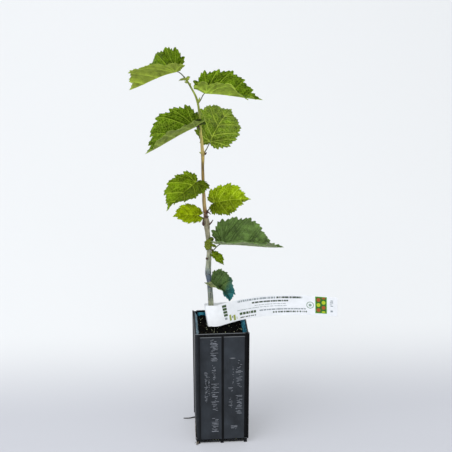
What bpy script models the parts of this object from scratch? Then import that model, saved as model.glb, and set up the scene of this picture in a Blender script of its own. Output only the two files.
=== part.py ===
"""A hazel sapling in a square nursery pot: trunk, leaves, root ball, two-part pot and loop label.

Lengths below are in millimetres and angles in degrees; the meshes are built in metres.
The origin is under the middle of the pot, on the ground. +X is right, +Y is back, +Z is up.
"""

import math

import bmesh
import bpy
import numpy as np

MM = 0.001
GAP = 0.3  # clearance between pieces that touch

# ---------------------------------------------------------------- driving dimensions

POT = {
    "height": 180.0,
    "wall_plane": 36.6,  # outer face of the walls, from the middle of the pot
    "wall": 1.6,
    "panel_proud": 0.9,
    "panel_from": 1.3,  # each wall has two panels, either side of a middle groove
    "groove_at": 1.0,  # where that groove is on the wall that carries the seam
    "panel_to": 31.0,
    "panel_to_seam": 32.1,  # and where the panel next to the seam ends
    "draft": 0.6,
    "corner": 1.2,
    "seam": 32.6,  # where a wall stops short of the seam corner
    "flange": 38.4,
    "flange_end": 37.4,
    "flange_wall": 2.0,
    "flange_start": 33.4,  # where the wall begins to step out to the flange
    "tongue": 31.0,  # how far the seam tongue reaches in behind the neighbouring wall
    "tongue_thick": 1.0,
    "rim_proud": 0.4,
    "rim_depth": 1.8,
    "panel_top_margin": 4.6,
    "wall_bottom": 7.0,
}

BASE = {
    "half": 36.2,
    "underside": 2.0,
    "top": 4.0,
    "bar": 3.0,
    "holes_across": 5,
    "border": 4.2,
    "corner_foot": 4.4,
    "middle_foot": 4.6,
    "foot_proud": 0.2,
    "centre_foot": 9.0,
}

SOIL = {
    "top": 172.0,
    "bump": 0.8,
    "shoulder": 1.0,  # the sides stop this far below the top
    "corner": 6.6,
    "cells": 10,
    "flat_radius": 9.0,  # level soil round the foot of the trunk
    "fade": 6.0,  # distance over which the bumps grow from there
    "edge_fade": 4.0,
}

# height, x, y and radius along the trunk, from the soil to the tip
TRUNK = [
    (SOIL["top"] + GAP, -12.8, 0.9, 5.0),
    (180.0, -12.8, 0.9, 4.5),
    (206.0, -13.1, 0.9, 3.75),
    (230.0, -14.1, 1.0, 3.8),
    (245.0, -15.3, 1.1, 3.6),
    (257.0, -16.5, 1.2, 4.0),
    (275.0, -15.6, 1.1, 3.6),
    (291.0, -14.7, 1.1, 3.6),
    (301.0, -15.4, 1.1, 3.4),
    (317.0, -17.0, 1.2, 3.4),
    (331.0, -18.4, 1.3, 4.1),
    (341.0, -19.3, 1.4, 2.9),
    (363.0, -21.4, 1.5, 2.4),
    (406.0, -22.6, 1.6, 2.0),
    (427.0, -22.4, 1.6, 2.4),
    (454.0, -24.4, 1.7, 1.8),
    (487.0, -26.7, 1.9, 1.5),
    (500.0, -29.0, 2.0, 1.4),
    (507.0, -31.5, 2.2, 1.3),
    (516.0, -36.2, 2.5, 1.2),
    (523.0, -40.0, 2.8, 1.2),
    (529.5, -44.6, 3.1, 0.9),
]
TRUNK_SIDES = 10
TRUNK_RINGS_PER_SPAN = 2

# Half outline of a heart-shaped leaf: along the midrib and out from it, as shares of length and
# width. The margin runs straight from the base of the midrib to the first point.
OUTLINE = [
    (-0.09, 0.055),
    (-0.155, 0.11),
    (-0.175, 0.19),
    (-0.13, 0.31),
    (-0.01, 0.41),
    (0.16, 0.475),
    (0.35, 0.50),
    (0.53, 0.475),
    (0.67, 0.395),
    (0.78, 0.275),
    (0.86, 0.145),
    (0.92, 0.055),
    (0.965, 0.022),
    (1.0, 0.0),
]
# the same for a leaf that ends broad and round
BLUNT_OUTLINE = OUTLINE[:7] + [
    (0.55, 0.49),
    (0.70, 0.455),
    (0.82, 0.39),
    (0.91, 0.29),
    (0.97, 0.16),
    (1.0, 0.0),
]
DRIP_FROM = 0.55  # a drawn-out tip narrows from this share of the length
DRIP_SPAN = 0.33  # and fully after this much more
VEIN_SLANT = 0.75  # the side veins meet the margin this far ahead of where they leave the midrib
LEAST_SPAN = 3.0  # the first side vein past the fan at the base leaves the midrib at least this far up
MARGIN_STEPS = 12  # steps of the smooth margin between two points of the outline
BLADE_GRID = (14, 3)  # stations along the margin, rows out from the midrib
SMALL_GRID = (10, 2)  # the same on a small leaf
SMALL_LENGTH = 30
BLADE_THICK = 0.7
PETIOLE_RADIUS = 0.9
PETIOLE_SIDES = 6
PETIOLE_TAPER = 0.7  # its radius under the blade, as a share of that at the trunk
STALK_LIFT = 0.6  # rise of a stalk for each unit out, where it leaves the trunk
STALK_HANDLE = 0.35  # how firmly the curve keeps its direction at both ends
STALK_POINTS = 6
RIB_SHARES = (0.06, 0.14)  # where the stalk runs on under the midrib, as shares of the length
STALK_CLEARANCE = GAP + PETIOLE_RADIUS * 0.6  # from the bark to the middle of the stalk's tilted end

# Each leaf: the height of its joint on the trunk (None at the tip), the point where stalk and
# blade meet, its size and its attitude. The midrib leaves at heading and rise, droops and curls
# towards the tip, and swings sideways. The blade rolls and twists about it, and each half folds up
# from it by an angle that runs from base to tip and bends across its width; two more values in a
# fold say between which shares of the length it turns. "lobe" and "shares" scale the base lobe and
# the width of the left and right half, and "drip" draws out the tip.
LEAVES = {
    "leaf_top_left": {
        "joint": None, "base": (-56, 5, 537), "length": 81, "width": 69,
        "heading": 144, "rise": -16, "droop": 27, "curl": -24, "swing": 3, "roll": -8, "twist": 13,
        "fold_left": (41, 47, -18), "fold_right": (65, 37, -7),
        "lobe": (1.35, 1.0), "drip": 0.25,
    },
    "leaf_top_right": {
        "joint": 497.0, "base": (-17, 3, 509), "length": 76, "width": 65,
        "heading": 5, "rise": -4, "droop": 19, "curl": -17, "swing": 4, "roll": 3, "twist": 12,
        "fold_left": (57, 25, 2), "fold_right": (56, 34, -31, 0.25, 0.70),
        "lobe": (1.0, 1.2), "drip": 0.45,
    },
    "leaf_upper_left": {
        "joint": 462.0, "base": (-33, -6, 467), "length": 77, "width": 69,
        "heading": 210, "rise": -14, "droop": 17, "curl": -17, "swing": -2, "roll": -8, "twist": 23,
        "fold_left": (43, 40, -10), "fold_right": (57, 9, -8, 0.2, 1.0),
        "lobe": (0.75, 0.85), "drip": 0.4,
    },
    "leaf_upper_right": {
        "joint": 428.0, "base": (-12, 13.7, 441), "length": 72, "width": 61,
        "heading": 61, "rise": 39, "droop": 29, "curl": -2, "swing": -3, "roll": 16, "twist": 4,
        "fold_left": (41, 9, 5), "fold_right": (17, -7, -29),
        "lobe": (0.85, 0.6),
    },
    "leaf_middle_left": {
        "joint": 384.0, "base": (-32, -3, 390), "length": 60, "width": 54,
        "heading": 223, "rise": -17, "droop": 15, "curl": 6, "swing": -3, "roll": 1, "twist": 15,
        "fold_left": (5, 17, -26), "fold_right": (37, 8, 2),
        "lobe": (0.6, 0.8), "shares": (1.0, 0.94), "drip": 0.3,
    },
    "leaf_middle_right": {
        "joint": 347.0, "base": (-7, 2, 359), "length": 54, "width": 44,
        "heading": -26, "rise": 22, "droop": 21, "curl": -7, "swing": 1, "roll": 25, "twist": 5,
        "fold_left": (42, 7, 1), "fold_right": (7, 1, -46),
        "lobe": (1.0, 0.7), "drip": 0.45,
    },
    "leaf_small_left": {
        "joint": 335.0, "base": (-30, 3, 341), "length": 35, "width": 30,
        "heading": 191, "rise": 18, "droop": 35, "curl": -1, "swing": -10, "roll": -25, "twist": -8,
        "fold_left": (12, 16, -29), "fold_right": (23, 15, 0),
        "drip": 0.2,
    },
    "leaf_lower_right": {
        "joint": 288.0, "base": (3, 1, 299), "length": 92, "width": 78,
        "heading": 9, "rise": -6, "droop": 17, "curl": -19, "swing": 7, "roll": 4, "twist": -4,
        "fold_left": (49, 36, 2), "fold_right": (36, 31, -17),
        "lobe": (0.7, 1.0), "drip": 0.5,
    },
    "leaf_young_front": {
        "joint": 296.0, "base": (-15, -6, 296), "length": 19, "width": 14,
        "heading": 300, "rise": 82, "droop": 20, "curl": 6, "swing": 0, "roll": 0, "twist": 0,
        "fold_left": (25, 20, 0), "fold_right": (25, 20, 0),
    },
    "leaf_small_hanging": {
        "joint": 283.0, "base": (-10, -5, 286), "length": 21, "width": 15,
        "heading": -20, "rise": -30, "droop": 25, "curl": 0, "swing": 0, "roll": 20, "twist": 10,
        "fold_left": (25, 20, 0), "fold_right": (20, 15, 0),
        "drip": 0.35,
    },
    "leaf_bottom_right": {
        "joint": 236.0, "base": (-12, -11, 240), "length": 53, "width": 51,
        "heading": -62, "rise": 23, "droop": 33, "curl": 25, "swing": -7, "roll": 4, "twist": 2,
        "fold_left": (61, 64, 7), "fold_right": (40, 52, 0),
        "lobe": (0.5, 0.3), "shares": (1.0, 0.6), "blunt": True,
    },
}

# Bottom edge of the label from the end of its tail, behind the trunk, to its printed end:
# x, y, height and how far the strip leans in towards the loop, which is backwards along the front.
# The loop is flat, with its sharpest bend to the left of the trunk, and lower behind it.
LABEL = {
    "width": 30.0,
    "thick": 0.6,
    "loop_centre": (-15.9, -1.8),
    "loop_radius": 9.7,  # front to back
    "loop_side": 2.6,
    "loop_steps": 8,
    "loop_height": 178.8,
    "loop_drop": 5.8,  # how much lower the strip is behind the trunk than in front
    "loop_top": (-0.13, 0.24, 0.95),  # which way the strip stands all round the loop
    "tail_end": (13.0, 0.0, 177.8),
    "tail_lean": 14.0,
    "own_lean_from": (192.8, 160.8),  # distances from the printed end, where that changes to its own lean
    "front": [
        (-3.5, -9.6, 177.5, 14.0),
        (12.0, -6.0, 179.8, 14.0),
        (35.0, 2.4, 181.0, 13.0),
        (70.0, 7.0, 183.0, 8.0),
        (115.0, 1.5, 185.8, 2.0),
        (166.0, -11.6, 188.3, -3.0),
    ],
    "stations": 72,
    "rows": 2,
}

COLOURS = {
    "bark": (0.36, 0.33, 0.25, 0.85),
    "leaf": (0.20, 0.33, 0.05, 0.55),
    "pot": (0.035, 0.038, 0.042, 0.45),
    "soil": (0.035, 0.026, 0.018, 0.95),
    "label": (0.90, 0.92, 0.94, 0.35),
}


# ---------------------------------------------------------------- helpers

def material(name):
    """A plain Principled material from COLOURS: red, green, blue and roughness."""
    mat = bpy.data.materials.get(name)
    if mat is None:
        red, green, blue, roughness = COLOURS[name]
        mat = bpy.data.materials.new(name)
        mat.use_nodes = True
        shader = mat.node_tree.nodes["Principled BSDF"]
        shader.inputs["Base Color"].default_value = (red, green, blue, 1.0)
        shader.inputs["Roughness"].default_value = roughness
        shader.inputs["Metallic"].default_value = 0.0
    return mat


def add_object(name, verts, faces, slot, smooth=True):
    """Link a mesh object from vertices in millimetres, with doubled vertices merged."""
    mesh = bpy.data.meshes.new(name)
    mesh.from_pydata([tuple(c * MM for c in v) for v in verts], [], faces)
    bm = bmesh.new()
    bm.from_mesh(mesh)
    bmesh.ops.remove_doubles(bm, verts=bm.verts, dist=1e-6)
    bm.to_mesh(mesh)
    bm.free()
    mesh.materials.append(material(slot))
    if smooth:
        mesh.shade_smooth()
        mesh.set_sharp_from_angle(angle=math.radians(40))
    obj = bpy.data.objects.new(name, mesh)
    bpy.context.scene.collection.objects.link(obj)
    return obj


def add_boolean(obj, other, operation, solver="EXACT"):
    """Join or cut obj with other, which is left as a hidden guide."""
    other.hide_render = True
    other.display_type = "WIRE"
    mod = obj.modifiers.new(operation.lower(), "BOOLEAN")
    mod.object = other
    mod.operation = operation
    mod.solver = solver


def boxes_mesh(boxes):
    """Vertices and outward faces of separate boxes, each given by its low and high corner."""
    corners = [(0, 0, 0), (1, 0, 0), (1, 1, 0), (0, 1, 0), (0, 0, 1), (1, 0, 1), (1, 1, 1), (0, 1, 1)]
    sides = [(0, 3, 2, 1), (4, 5, 6, 7), (0, 1, 5, 4), (1, 2, 6, 5), (2, 3, 7, 6), (3, 0, 4, 7)]
    verts, faces = [], []
    for ends in boxes:
        start = len(verts)
        verts += [tuple(ends[pick][axis] for axis, pick in enumerate(corner)) for corner in corners]
        faces += [tuple(start + i for i in side) for side in sides]
    return verts, faces


def loft(rings):
    """Closed skin over rings of equal length, anticlockwise seen from the last ring's side."""
    count = len(rings[0])
    verts = [p for ring in rings for p in ring]
    faces = [tuple(reversed(range(count)))]
    for k in range(len(rings) - 1):
        low, high = k * count, (k + 1) * count
        for i in range(count):
            j = (i + 1) % count
            faces.append((low + i, low + j, high + j, high + i))
    faces.append(tuple(range(len(verts) - count, len(verts))))
    return verts, faces


def smooth_through(points, spans):
    """Catmull-Rom curve through points, with the given number of steps in each span."""
    pts = np.asarray(points, float)
    pts = np.vstack([2 * pts[0] - pts[1], pts, 2 * pts[-1] - pts[-2]])
    out = []
    for k in range(1, len(pts) - 2):
        before, start, end, after = pts[k - 1:k + 3]
        for step in range(spans):
            t = step / spans
            out.append(0.5 * (
                2 * start + (end - before) * t
                + (2 * before - 5 * start + 4 * end - after) * t * t
                + (3 * start - before - 3 * end + after) * t ** 3))
    out.append(pts[-2])
    return np.array(out)


def tube(path, radii, sides):
    """Closed tube along a path, its rings carried along without spin."""
    path = np.asarray(path, float)
    ahead = np.gradient(path, axis=0)
    ahead /= np.linalg.norm(ahead, axis=1)[:, None]
    side = np.cross(ahead[0], (0.0, 1.0, 0.0) if abs(ahead[0][1]) < 0.9 else (1.0, 0.0, 0.0))
    rings = []
    for point, direction, radius in zip(path, ahead, radii):
        side = side - direction * np.dot(side, direction)
        side /= np.linalg.norm(side)
        up = np.cross(direction, side)
        turns = [2 * math.pi * k / sides for k in range(sides)]
        rings.append([tuple(point + radius * (math.cos(a) * side + math.sin(a) * up)) for a in turns])
    return loft(rings)


# ---------------------------------------------------------------- pot

def half_outline(panel_out, wall_out):
    """Plan of one L-shaped pot half: the front wall and the left wall, with the seam flange.

    panel_out and wall_out move the panels and the whole outer face outwards at this level.
    """
    pot = POT
    plane = pot["wall_plane"] + wall_out
    proud = plane + panel_out
    inner = pot["wall_plane"] - pot["wall"]
    near, far, draft = pot["panel_from"], pot["panel_to"], pot["draft"]
    corner = pot["wall_plane"] - pot["corner"]

    def wall_run(first, middle):
        # distances along a wall from its middle, and how far out the face is there
        low, high = middle - near, middle + near
        return [
            (first, plane), (first - draft, proud), (high + draft, proud), (high, plane),
            (low, plane), (low - draft, proud), (-far + draft, proud), (-far, plane),
        ]

    front = [(along, -out) for along, out in wall_run(pot["panel_to_seam"], pot["groove_at"])]
    left = [(-out, -along) for along, out in wall_run(far, 0.0)]
    tongue_out = inner - GAP
    tongue_in = tongue_out - pot["tongue_thick"]
    flange, end = pot["flange"], pot["flange_end"]
    flange_inner = flange - pot["flange_wall"]
    step = pot["flange_start"]
    seam_flange = [
        (-plane, step), (-flange, step + pot["draft"]), (-flange, end), (-flange_inner, end),
        (-flange_inner, tongue_out), (-pot["tongue"], tongue_out), (-pot["tongue"], tongue_in),
        (-inner, tongue_in),
    ]
    outline = [(pot["seam"], -plane)] + front + [(-corner, -plane), (-plane, -corner)] + left
    outline += seam_flange + [(-inner, -inner), (pot["seam"], -inner)]
    return outline[::-1]


def pot_half(name, turned):
    """One pot half; the second is the first turned half round the pot's axis."""
    pot = POT
    panel_top = pot["height"] - pot["panel_top_margin"]
    rim_under = pot["height"] - pot["rim_depth"]
    bottom, draft = pot["wall_bottom"], pot["draft"]
    levels = [
        (bottom, 0.0, 0.0),
        (bottom + draft, pot["panel_proud"], 0.0),
        (panel_top - draft, pot["panel_proud"], 0.0),
        (panel_top, 0.0, 0.0),
        (rim_under, 0.0, 0.0),
        (rim_under + pot["rim_proud"], 0.0, pot["rim_proud"]),
        (pot["height"], 0.0, pot["rim_proud"]),
    ]
    sign = -1.0 if turned else 1.0
    rings = [[(sign * x, sign * y, z) for x, y in half_outline(panel, wall)] for z, panel, wall in levels]
    verts, faces = loft(rings)
    return add_object(name, verts, faces, "pot", smooth=False)


def pot_base():
    """Open grid under the root ball, on feet that also carry the walls, and one centre foot."""
    base = BASE
    half, low, high = base["half"], base["underside"], base["top"]
    plate = boxes_mesh([((-half, -half, low), (half, half, high))])
    grid = add_object("pot_base", *plate, "pot", smooth=False)

    count, bar = base["holes_across"], base["bar"]
    hole = (2 * (half - base["border"]) - (count - 1) * bar) / count
    starts = [-half + base["border"] + k * (hole + bar) for k in range(count)]
    middle = count // 2
    holes = [
        ((x, y, low - 1), (x + hole, y + hole, high + 1))
        for i, x in enumerate(starts) for j, y in enumerate(starts) if (i, j) != (middle, middle)
    ]
    add_boolean(grid, add_object("grid_holes", *boxes_mesh(holes), "pot", smooth=False), "DIFFERENCE")

    outer = half + base["foot_proud"]
    corner_in = half - base["corner_foot"]
    post = base["middle_foot"] / 2
    wall_in = POT["wall_plane"] - POT["wall"]
    foot_top = POT["wall_bottom"] - GAP
    feet = []
    for side in (-1, 1):
        across = sorted((side * wall_in, side * outer))
        feet.append(((-post, across[0], 0), (post, across[1], foot_top)))
        feet.append(((across[0], -post, 0), (across[1], post, foot_top)))
        for other in (-1, 1):
            xs = sorted((side * corner_in, side * outer))
            ys = sorted((other * corner_in, other * outer))
            feet.append(((xs[0], ys[0], 0), (xs[1], ys[1], foot_top)))
    centre = base["centre_foot"] / 2
    feet.append(((-centre, -centre, 0), (centre, centre, (low + high) / 2)))
    add_boolean(grid, add_object("grid_feet", *boxes_mesh(feet), "pot", smooth=False), "UNION")
    return grid


# ---------------------------------------------------------------- root ball

def soil_height(x, y):
    """Uneven top of the root ball, level round the trunk and along the pot's walls."""
    foot = TRUNK[0]
    edge = POT["wall_plane"] - POT["wall"] - GAP
    away = min(1.0, max(0.0, (math.hypot(x - foot[1], y - foot[2]) - SOIL["flat_radius"]) / SOIL["fade"]))
    inside = min(1.0, max(0.0, (edge - max(abs(x), abs(y))) / SOIL["edge_fade"]))
    wave = math.sin(0.31 * x + 1.3) * math.cos(0.27 * y - 0.4) + 0.5 * math.sin(0.53 * y + 0.21 * x)
    return SOIL["top"] + SOIL["bump"] * wave / 1.5 * away * inside


def root_ball():
    """Square block of potting soil with chamfered corners, standing on the grid."""
    half = POT["wall_plane"] - POT["wall"] - GAP
    cut = SOIL["corner"]
    low = BASE["top"] + GAP
    cells = SOIL["cells"]
    # every ring of the top follows the chamfered plan, shrunk towards the middle
    plan = [(half, half - cut), (half - cut, half), (-half + cut, half), (-half, half - cut),
            (-half, -half + cut), (-half + cut, -half), (half - cut, -half), (half, -half + cut)]
    ring = []
    for k, (x0, y0) in enumerate(plan):
        x1, y1 = plan[(k + 1) % len(plan)]
        steps = 1 if k % 2 == 0 else cells // 2
        ring += [(x0 + (x1 - x0) * s / steps, y0 + (y1 - y0) * s / steps) for s in range(steps)]
    rings = [[(x, y, low) for x, y in ring], [(x, y, SOIL["top"] - SOIL["shoulder"]) for x, y in ring]]
    for share in (1.0 - step / cells for step in range(cells - 1)):
        rings.append([(x * share, y * share, soil_height(x * share, y * share)) for x, y in ring])
    verts, faces = loft(rings)
    return add_object("root_ball", verts, faces, "soil")


# ---------------------------------------------------------------- trunk

def trunk_curve():
    """Axis points and radii up the trunk."""
    stations = smooth_through([(x, y, z, r) for z, x, y, r in TRUNK], TRUNK_RINGS_PER_SPAN)
    return stations[:, :3], stations[:, 3]


def trunk():
    path, radii = trunk_curve()
    verts, faces = tube(path, radii, TRUNK_SIDES)
    # the foot is one flat cut, level on the soil
    verts[:TRUNK_SIDES] = [(x, y, TRUNK[0][0]) for x, y, _ in verts[:TRUNK_SIDES]]
    return add_object("trunk", verts, faces, "bark")


def trunk_at(height):
    """Axis point and radius at a height below the bent tip."""
    path, radii = trunk_curve()
    point = np.array([np.interp(height, path[:, 2], path[:, axis]) for axis in range(3)])
    return point, float(np.interp(height, path[:, 2], radii))


# ---------------------------------------------------------------- leaves

def arc_offsets(angle, bend, distance):
    """Across and up, after going distance along an arc that starts at angle and bends."""
    bend = bend if abs(bend) > 1e-5 else 1e-5
    across = (np.sin(angle + bend * distance) - np.sin(angle)) / bend
    up = (np.cos(angle) - np.cos(angle + bend * distance)) / bend
    return across, up


def smooth_step(share):
    share = np.clip(share, 0.0, 1.0)
    return share * share * (3 - 2 * share)


def midrib(leaf, steps=40):
    """Shares of the length, points from the blade's base, and the frame carried along."""
    share = np.linspace(0.0, 1.0, steps + 1)
    rise = np.radians(leaf["rise"] - leaf["droop"] * share - leaf["curl"] * share ** 3)
    heading = np.radians(leaf["heading"] + leaf["swing"] * share)
    roll = np.radians(leaf["roll"] + leaf["twist"] * share)[:, None]
    ahead = np.stack([np.cos(rise) * np.cos(heading), np.cos(rise) * np.sin(heading), np.sin(rise)], 1)
    level = np.stack([-np.sin(heading), np.cos(heading), 0 * heading], 1)
    above = np.cross(ahead, level)
    left = level * np.cos(roll) + above * np.sin(roll)
    normal = np.cross(ahead, left)
    step = (ahead[1:] + ahead[:-1]) / 2 * leaf["length"] / steps
    points = np.vstack([[0.0, 0.0, 0.0], np.cumsum(step, axis=0)])
    return share, points, ahead, left, normal


def blade_half(leaf, sign, stations, rows):
    """Grid of points over one half of a blade, from the midrib out to the margin."""
    length, half = leaf["length"], 0 if sign > 0 else 1
    outline = np.array(BLUNT_OUTLINE if leaf.get("blunt") else OUTLINE)
    outline[outline[:, 0] < 0, 0] *= leaf.get("lobe", (1.0, 1.0))[half]
    outline[:, 1] *= 1 - leaf.get("drip", 0.0) * smooth_step((outline[:, 0] - DRIP_FROM) / DRIP_SPAN)
    curve = smooth_through(outline, MARGIN_STEPS)
    pick = np.linspace(0, len(curve) - 1, stations)
    edge = np.stack([np.interp(pick, np.arange(len(curve)), curve[:, k]) for k in (0, 1)], 1)
    along, out = edge[:, 0] * length, edge[:, 1] * leaf["width"]
    start = along - VEIN_SLANT * out  # the same for both halves, so that they meet
    start[start < LEAST_SPAN] = 0.0
    start[-1] = length
    reach = np.linspace(0.0, 1.0, rows + 1)
    x = start[:, None] + (along - start)[:, None] * reach
    y = (out * leaf.get("shares", (1.0, 1.0))[half])[:, None] * reach
    share, points, ahead, left, normal = midrib(leaf)
    at = np.clip(x / length, 0.0, 1.0)
    fold_base, fold_tip, bend, *turning = leaf["fold_left" if sign > 0 else "fold_right"]
    folded = smooth_step((at - turning[0]) / (turning[1] - turning[0])) if turning else at
    fold = np.radians(fold_base + (fold_tip - fold_base) * folded)
    across, up = arc_offsets(fold, math.radians(bend) / (leaf["width"] / 2), y)

    def carried(vectors):
        return np.stack([np.interp(at, share, vectors[:, k]) for k in range(3)], -1)

    grid = carried(points) + carried(ahead) * np.minimum(x, 0.0)[..., None]
    grid += carried(left) * (sign * across)[..., None] + carried(normal) * up[..., None]
    return grid + np.array(leaf["base"], float)


def stalk_path(leaf):
    """From just clear of the trunk, round to the blade's base and a little way under its midrib."""
    share, points, ahead, _, normal = midrib(leaf)
    base = np.array(leaf["base"], float)
    if leaf["joint"] is None:
        axis, _ = trunk_curve()
        leave = axis[-1] - axis[-2]
        start = axis[-1] + leave / np.linalg.norm(leave) * GAP
    else:
        joint, radius = trunk_at(leaf["joint"])
        outward = base - joint
        outward[2] = 0.0
        outward /= np.linalg.norm(outward)
        start = joint + outward * (radius + STALK_CLEARANCE)
        leave = outward + np.array([0.0, 0.0, STALK_LIFT])
    leave /= np.linalg.norm(leave)
    reach = np.linalg.norm(base - start)
    handle_out = start + leave * reach * STALK_HANDLE
    handle_in = base - ahead[0] * reach * STALK_HANDLE
    path = []
    for t in np.linspace(0.0, 1.0, STALK_POINTS):
        a, b, c, d = (1 - t) ** 3, 3 * t * (1 - t) ** 2, 3 * t * t * (1 - t), t ** 3
        path.append(a * start + b * handle_out + c * handle_in + d * base)
    for at in RIB_SHARES:
        rib = np.array([np.interp(at, share, points[:, k]) for k in range(3)])
        path.append(base + rib)
    return path


def leaf_object(name, leaf):
    """Blade as a thin folded sheet with thickness, joined to its stalk."""
    stations, rows = SMALL_GRID if leaf["length"] < SMALL_LENGTH else BLADE_GRID
    verts, faces = [], []
    for sign in (1, -1):
        grid = blade_half(leaf, sign, stations, rows)
        start = len(verts)
        verts += [tuple(p) for p in grid.reshape(-1, 3)]
        across = rows + 1
        for i in range(stations - 1):
            for j in range(rows):
                corner = start + i * across + j
                quad = (corner, corner + across, corner + across + 1, corner + 1)
                faces.append(quad if sign > 0 else quad[::-1])
    blade = add_object(name, verts, faces, "leaf")
    drop_flat_faces(blade.data)
    skin = blade.modifiers.new("thickness", "SOLIDIFY")
    skin.thickness = BLADE_THICK * MM
    skin.offset = -1.0  # all on the underside, so that a tight fold stays open
    skin.use_even_offset = False
    path = stalk_path(leaf)
    radii = np.linspace(PETIOLE_RADIUS, PETIOLE_RADIUS * PETIOLE_TAPER, len(path))
    stalk = add_object(name + "_stalk", *tube(path, radii, PETIOLE_SIDES), "leaf")
    add_boolean(blade, stalk, "UNION", solver="MANIFOLD")
    return blade


def drop_flat_faces(mesh):
    """Remove what is left of the quads that closed to a line or point when doubles merged."""
    bm = bmesh.new()
    bm.from_mesh(mesh)
    bmesh.ops.dissolve_degenerate(bm, dist=1e-6, edges=bm.edges)
    bm.to_mesh(mesh)
    bm.free()


# ---------------------------------------------------------------- label

def label_stations():
    """x, y, height and lean along the label's bottom edge."""
    label = LABEL
    cx, cy = label["loop_centre"]
    lean = label["tail_lean"]
    points = [(*label["tail_end"], lean)]
    for turn in np.linspace(0.5 * math.pi, 1.5 * math.pi, label["loop_steps"] + 1):
        x = cx + label["loop_side"] * math.cos(turn)
        y = cy + label["loop_radius"] * math.sin(turn)
        points.append((x, y, label["loop_height"] - label["loop_drop"] * (1 + math.sin(turn)) / 2, lean))
    return smooth_through(points + label["front"], label["loop_steps"])


def label_strip():
    """Plastic strip on edge: round the trunk, over the pot's rim and out to one side."""
    label = LABEL
    line = label_stations()
    gaps = np.linalg.norm(np.diff(line[:, :3], axis=0), axis=1)
    travelled = np.concatenate([[0.0], np.cumsum(gaps)])
    pick = np.linspace(0.0, travelled[-1], label["stations"])
    line = np.stack([np.interp(pick, travelled, line[:, k]) for k in range(4)], 1)
    ahead = np.gradient(line[:, :3], axis=0)
    ahead /= np.linalg.norm(ahead, axis=1)[:, None]
    facing = np.cross(ahead, (0.0, 0.0, 1.0))
    facing /= np.linalg.norm(facing, axis=1)[:, None]
    upright = np.cross(facing, ahead)
    lean = np.radians(line[:, 3])[:, None]
    own_top = upright * np.cos(lean) - facing * np.sin(lean)
    loop_top = np.array(label["loop_top"]) / np.linalg.norm(label["loop_top"])
    loop_end, own_start = label["own_lean_from"]
    own = smooth_step((loop_end - (travelled[-1] - pick)) / (loop_end - own_start))[:, None]
    top = own_top * own + loop_top * (1 - own)
    top /= np.linalg.norm(top, axis=1)[:, None]
    rows = label["rows"]
    steps = [label["width"] * row / rows for row in range(rows + 1)]
    verts = [tuple(low + up * step) for low, up in zip(line[:, :3], top) for step in steps]
    across = rows + 1
    faces = []
    for i in range(label["stations"] - 1):
        for j in range(rows):
            corner = i * across + j
            faces.append((corner, corner + across, corner + across + 1, corner + 1))
    strip = add_object("label", verts, faces, "label")
    skin = strip.modifiers.new("thickness", "SOLIDIFY")
    skin.thickness = label["thick"] * MM
    skin.offset = 0.0
    skin.use_even_offset = False
    return strip


# ---------------------------------------------------------------- build

def build():
    for obj in list(bpy.data.objects):
        bpy.data.objects.remove(obj)
    pot_half("pot_half_front", turned=False)
    pot_half("pot_half_back", turned=True)
    pot_base()
    root_ball()
    trunk()
    for name, leaf in LEAVES.items():
        leaf_object(name, leaf)
    label_strip()


build()
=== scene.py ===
# Hazel sapling in a square nursery pot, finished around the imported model.
# Lengths in the dictionaries are millimetres and angles are degrees; meshes are made in metres.

import json
import math
import random
from functools import partial

import bmesh
import bpy
import numpy as np
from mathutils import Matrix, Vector


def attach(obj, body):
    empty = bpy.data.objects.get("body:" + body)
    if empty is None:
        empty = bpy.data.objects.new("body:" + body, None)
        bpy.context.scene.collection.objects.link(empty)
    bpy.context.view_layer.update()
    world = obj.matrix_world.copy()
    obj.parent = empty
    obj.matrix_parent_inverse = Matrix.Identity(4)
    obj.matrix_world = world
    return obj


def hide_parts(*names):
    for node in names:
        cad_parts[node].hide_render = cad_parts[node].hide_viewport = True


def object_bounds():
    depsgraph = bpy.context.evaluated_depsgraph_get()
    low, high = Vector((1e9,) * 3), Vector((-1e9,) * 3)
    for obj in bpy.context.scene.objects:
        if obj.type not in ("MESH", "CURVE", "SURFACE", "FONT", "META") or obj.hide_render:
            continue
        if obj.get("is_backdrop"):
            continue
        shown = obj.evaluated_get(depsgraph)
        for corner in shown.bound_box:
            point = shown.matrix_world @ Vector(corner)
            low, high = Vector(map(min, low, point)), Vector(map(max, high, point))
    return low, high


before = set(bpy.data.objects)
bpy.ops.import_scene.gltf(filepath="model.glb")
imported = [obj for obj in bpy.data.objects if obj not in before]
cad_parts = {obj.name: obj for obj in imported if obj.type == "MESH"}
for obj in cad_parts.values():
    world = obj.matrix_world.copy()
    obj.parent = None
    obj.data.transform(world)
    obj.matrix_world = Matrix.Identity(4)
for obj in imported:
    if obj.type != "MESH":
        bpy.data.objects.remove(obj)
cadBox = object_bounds()
mm = 0.001
print("frame loaded")


# ---- small tools

colourMix = {"data_type": "RGBA", "out": 2}  # a Mix node that mixes colours, and its colour output


def hexColour(code):
    channels = [int(code[i:i + 2], 16) / 255 for i in (1, 3, 5)]
    linear = [c / 12.92 if c <= 0.04045 else ((c + 0.055) / 1.055) ** 2.4 for c in channels]
    return (*linear, 1.0)


def shade(code, factor):
    return "#%02x%02x%02x" % tuple(min(255, int(int(code[i:i + 2], 16) * factor)) for i in (1, 3, 5))


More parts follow.
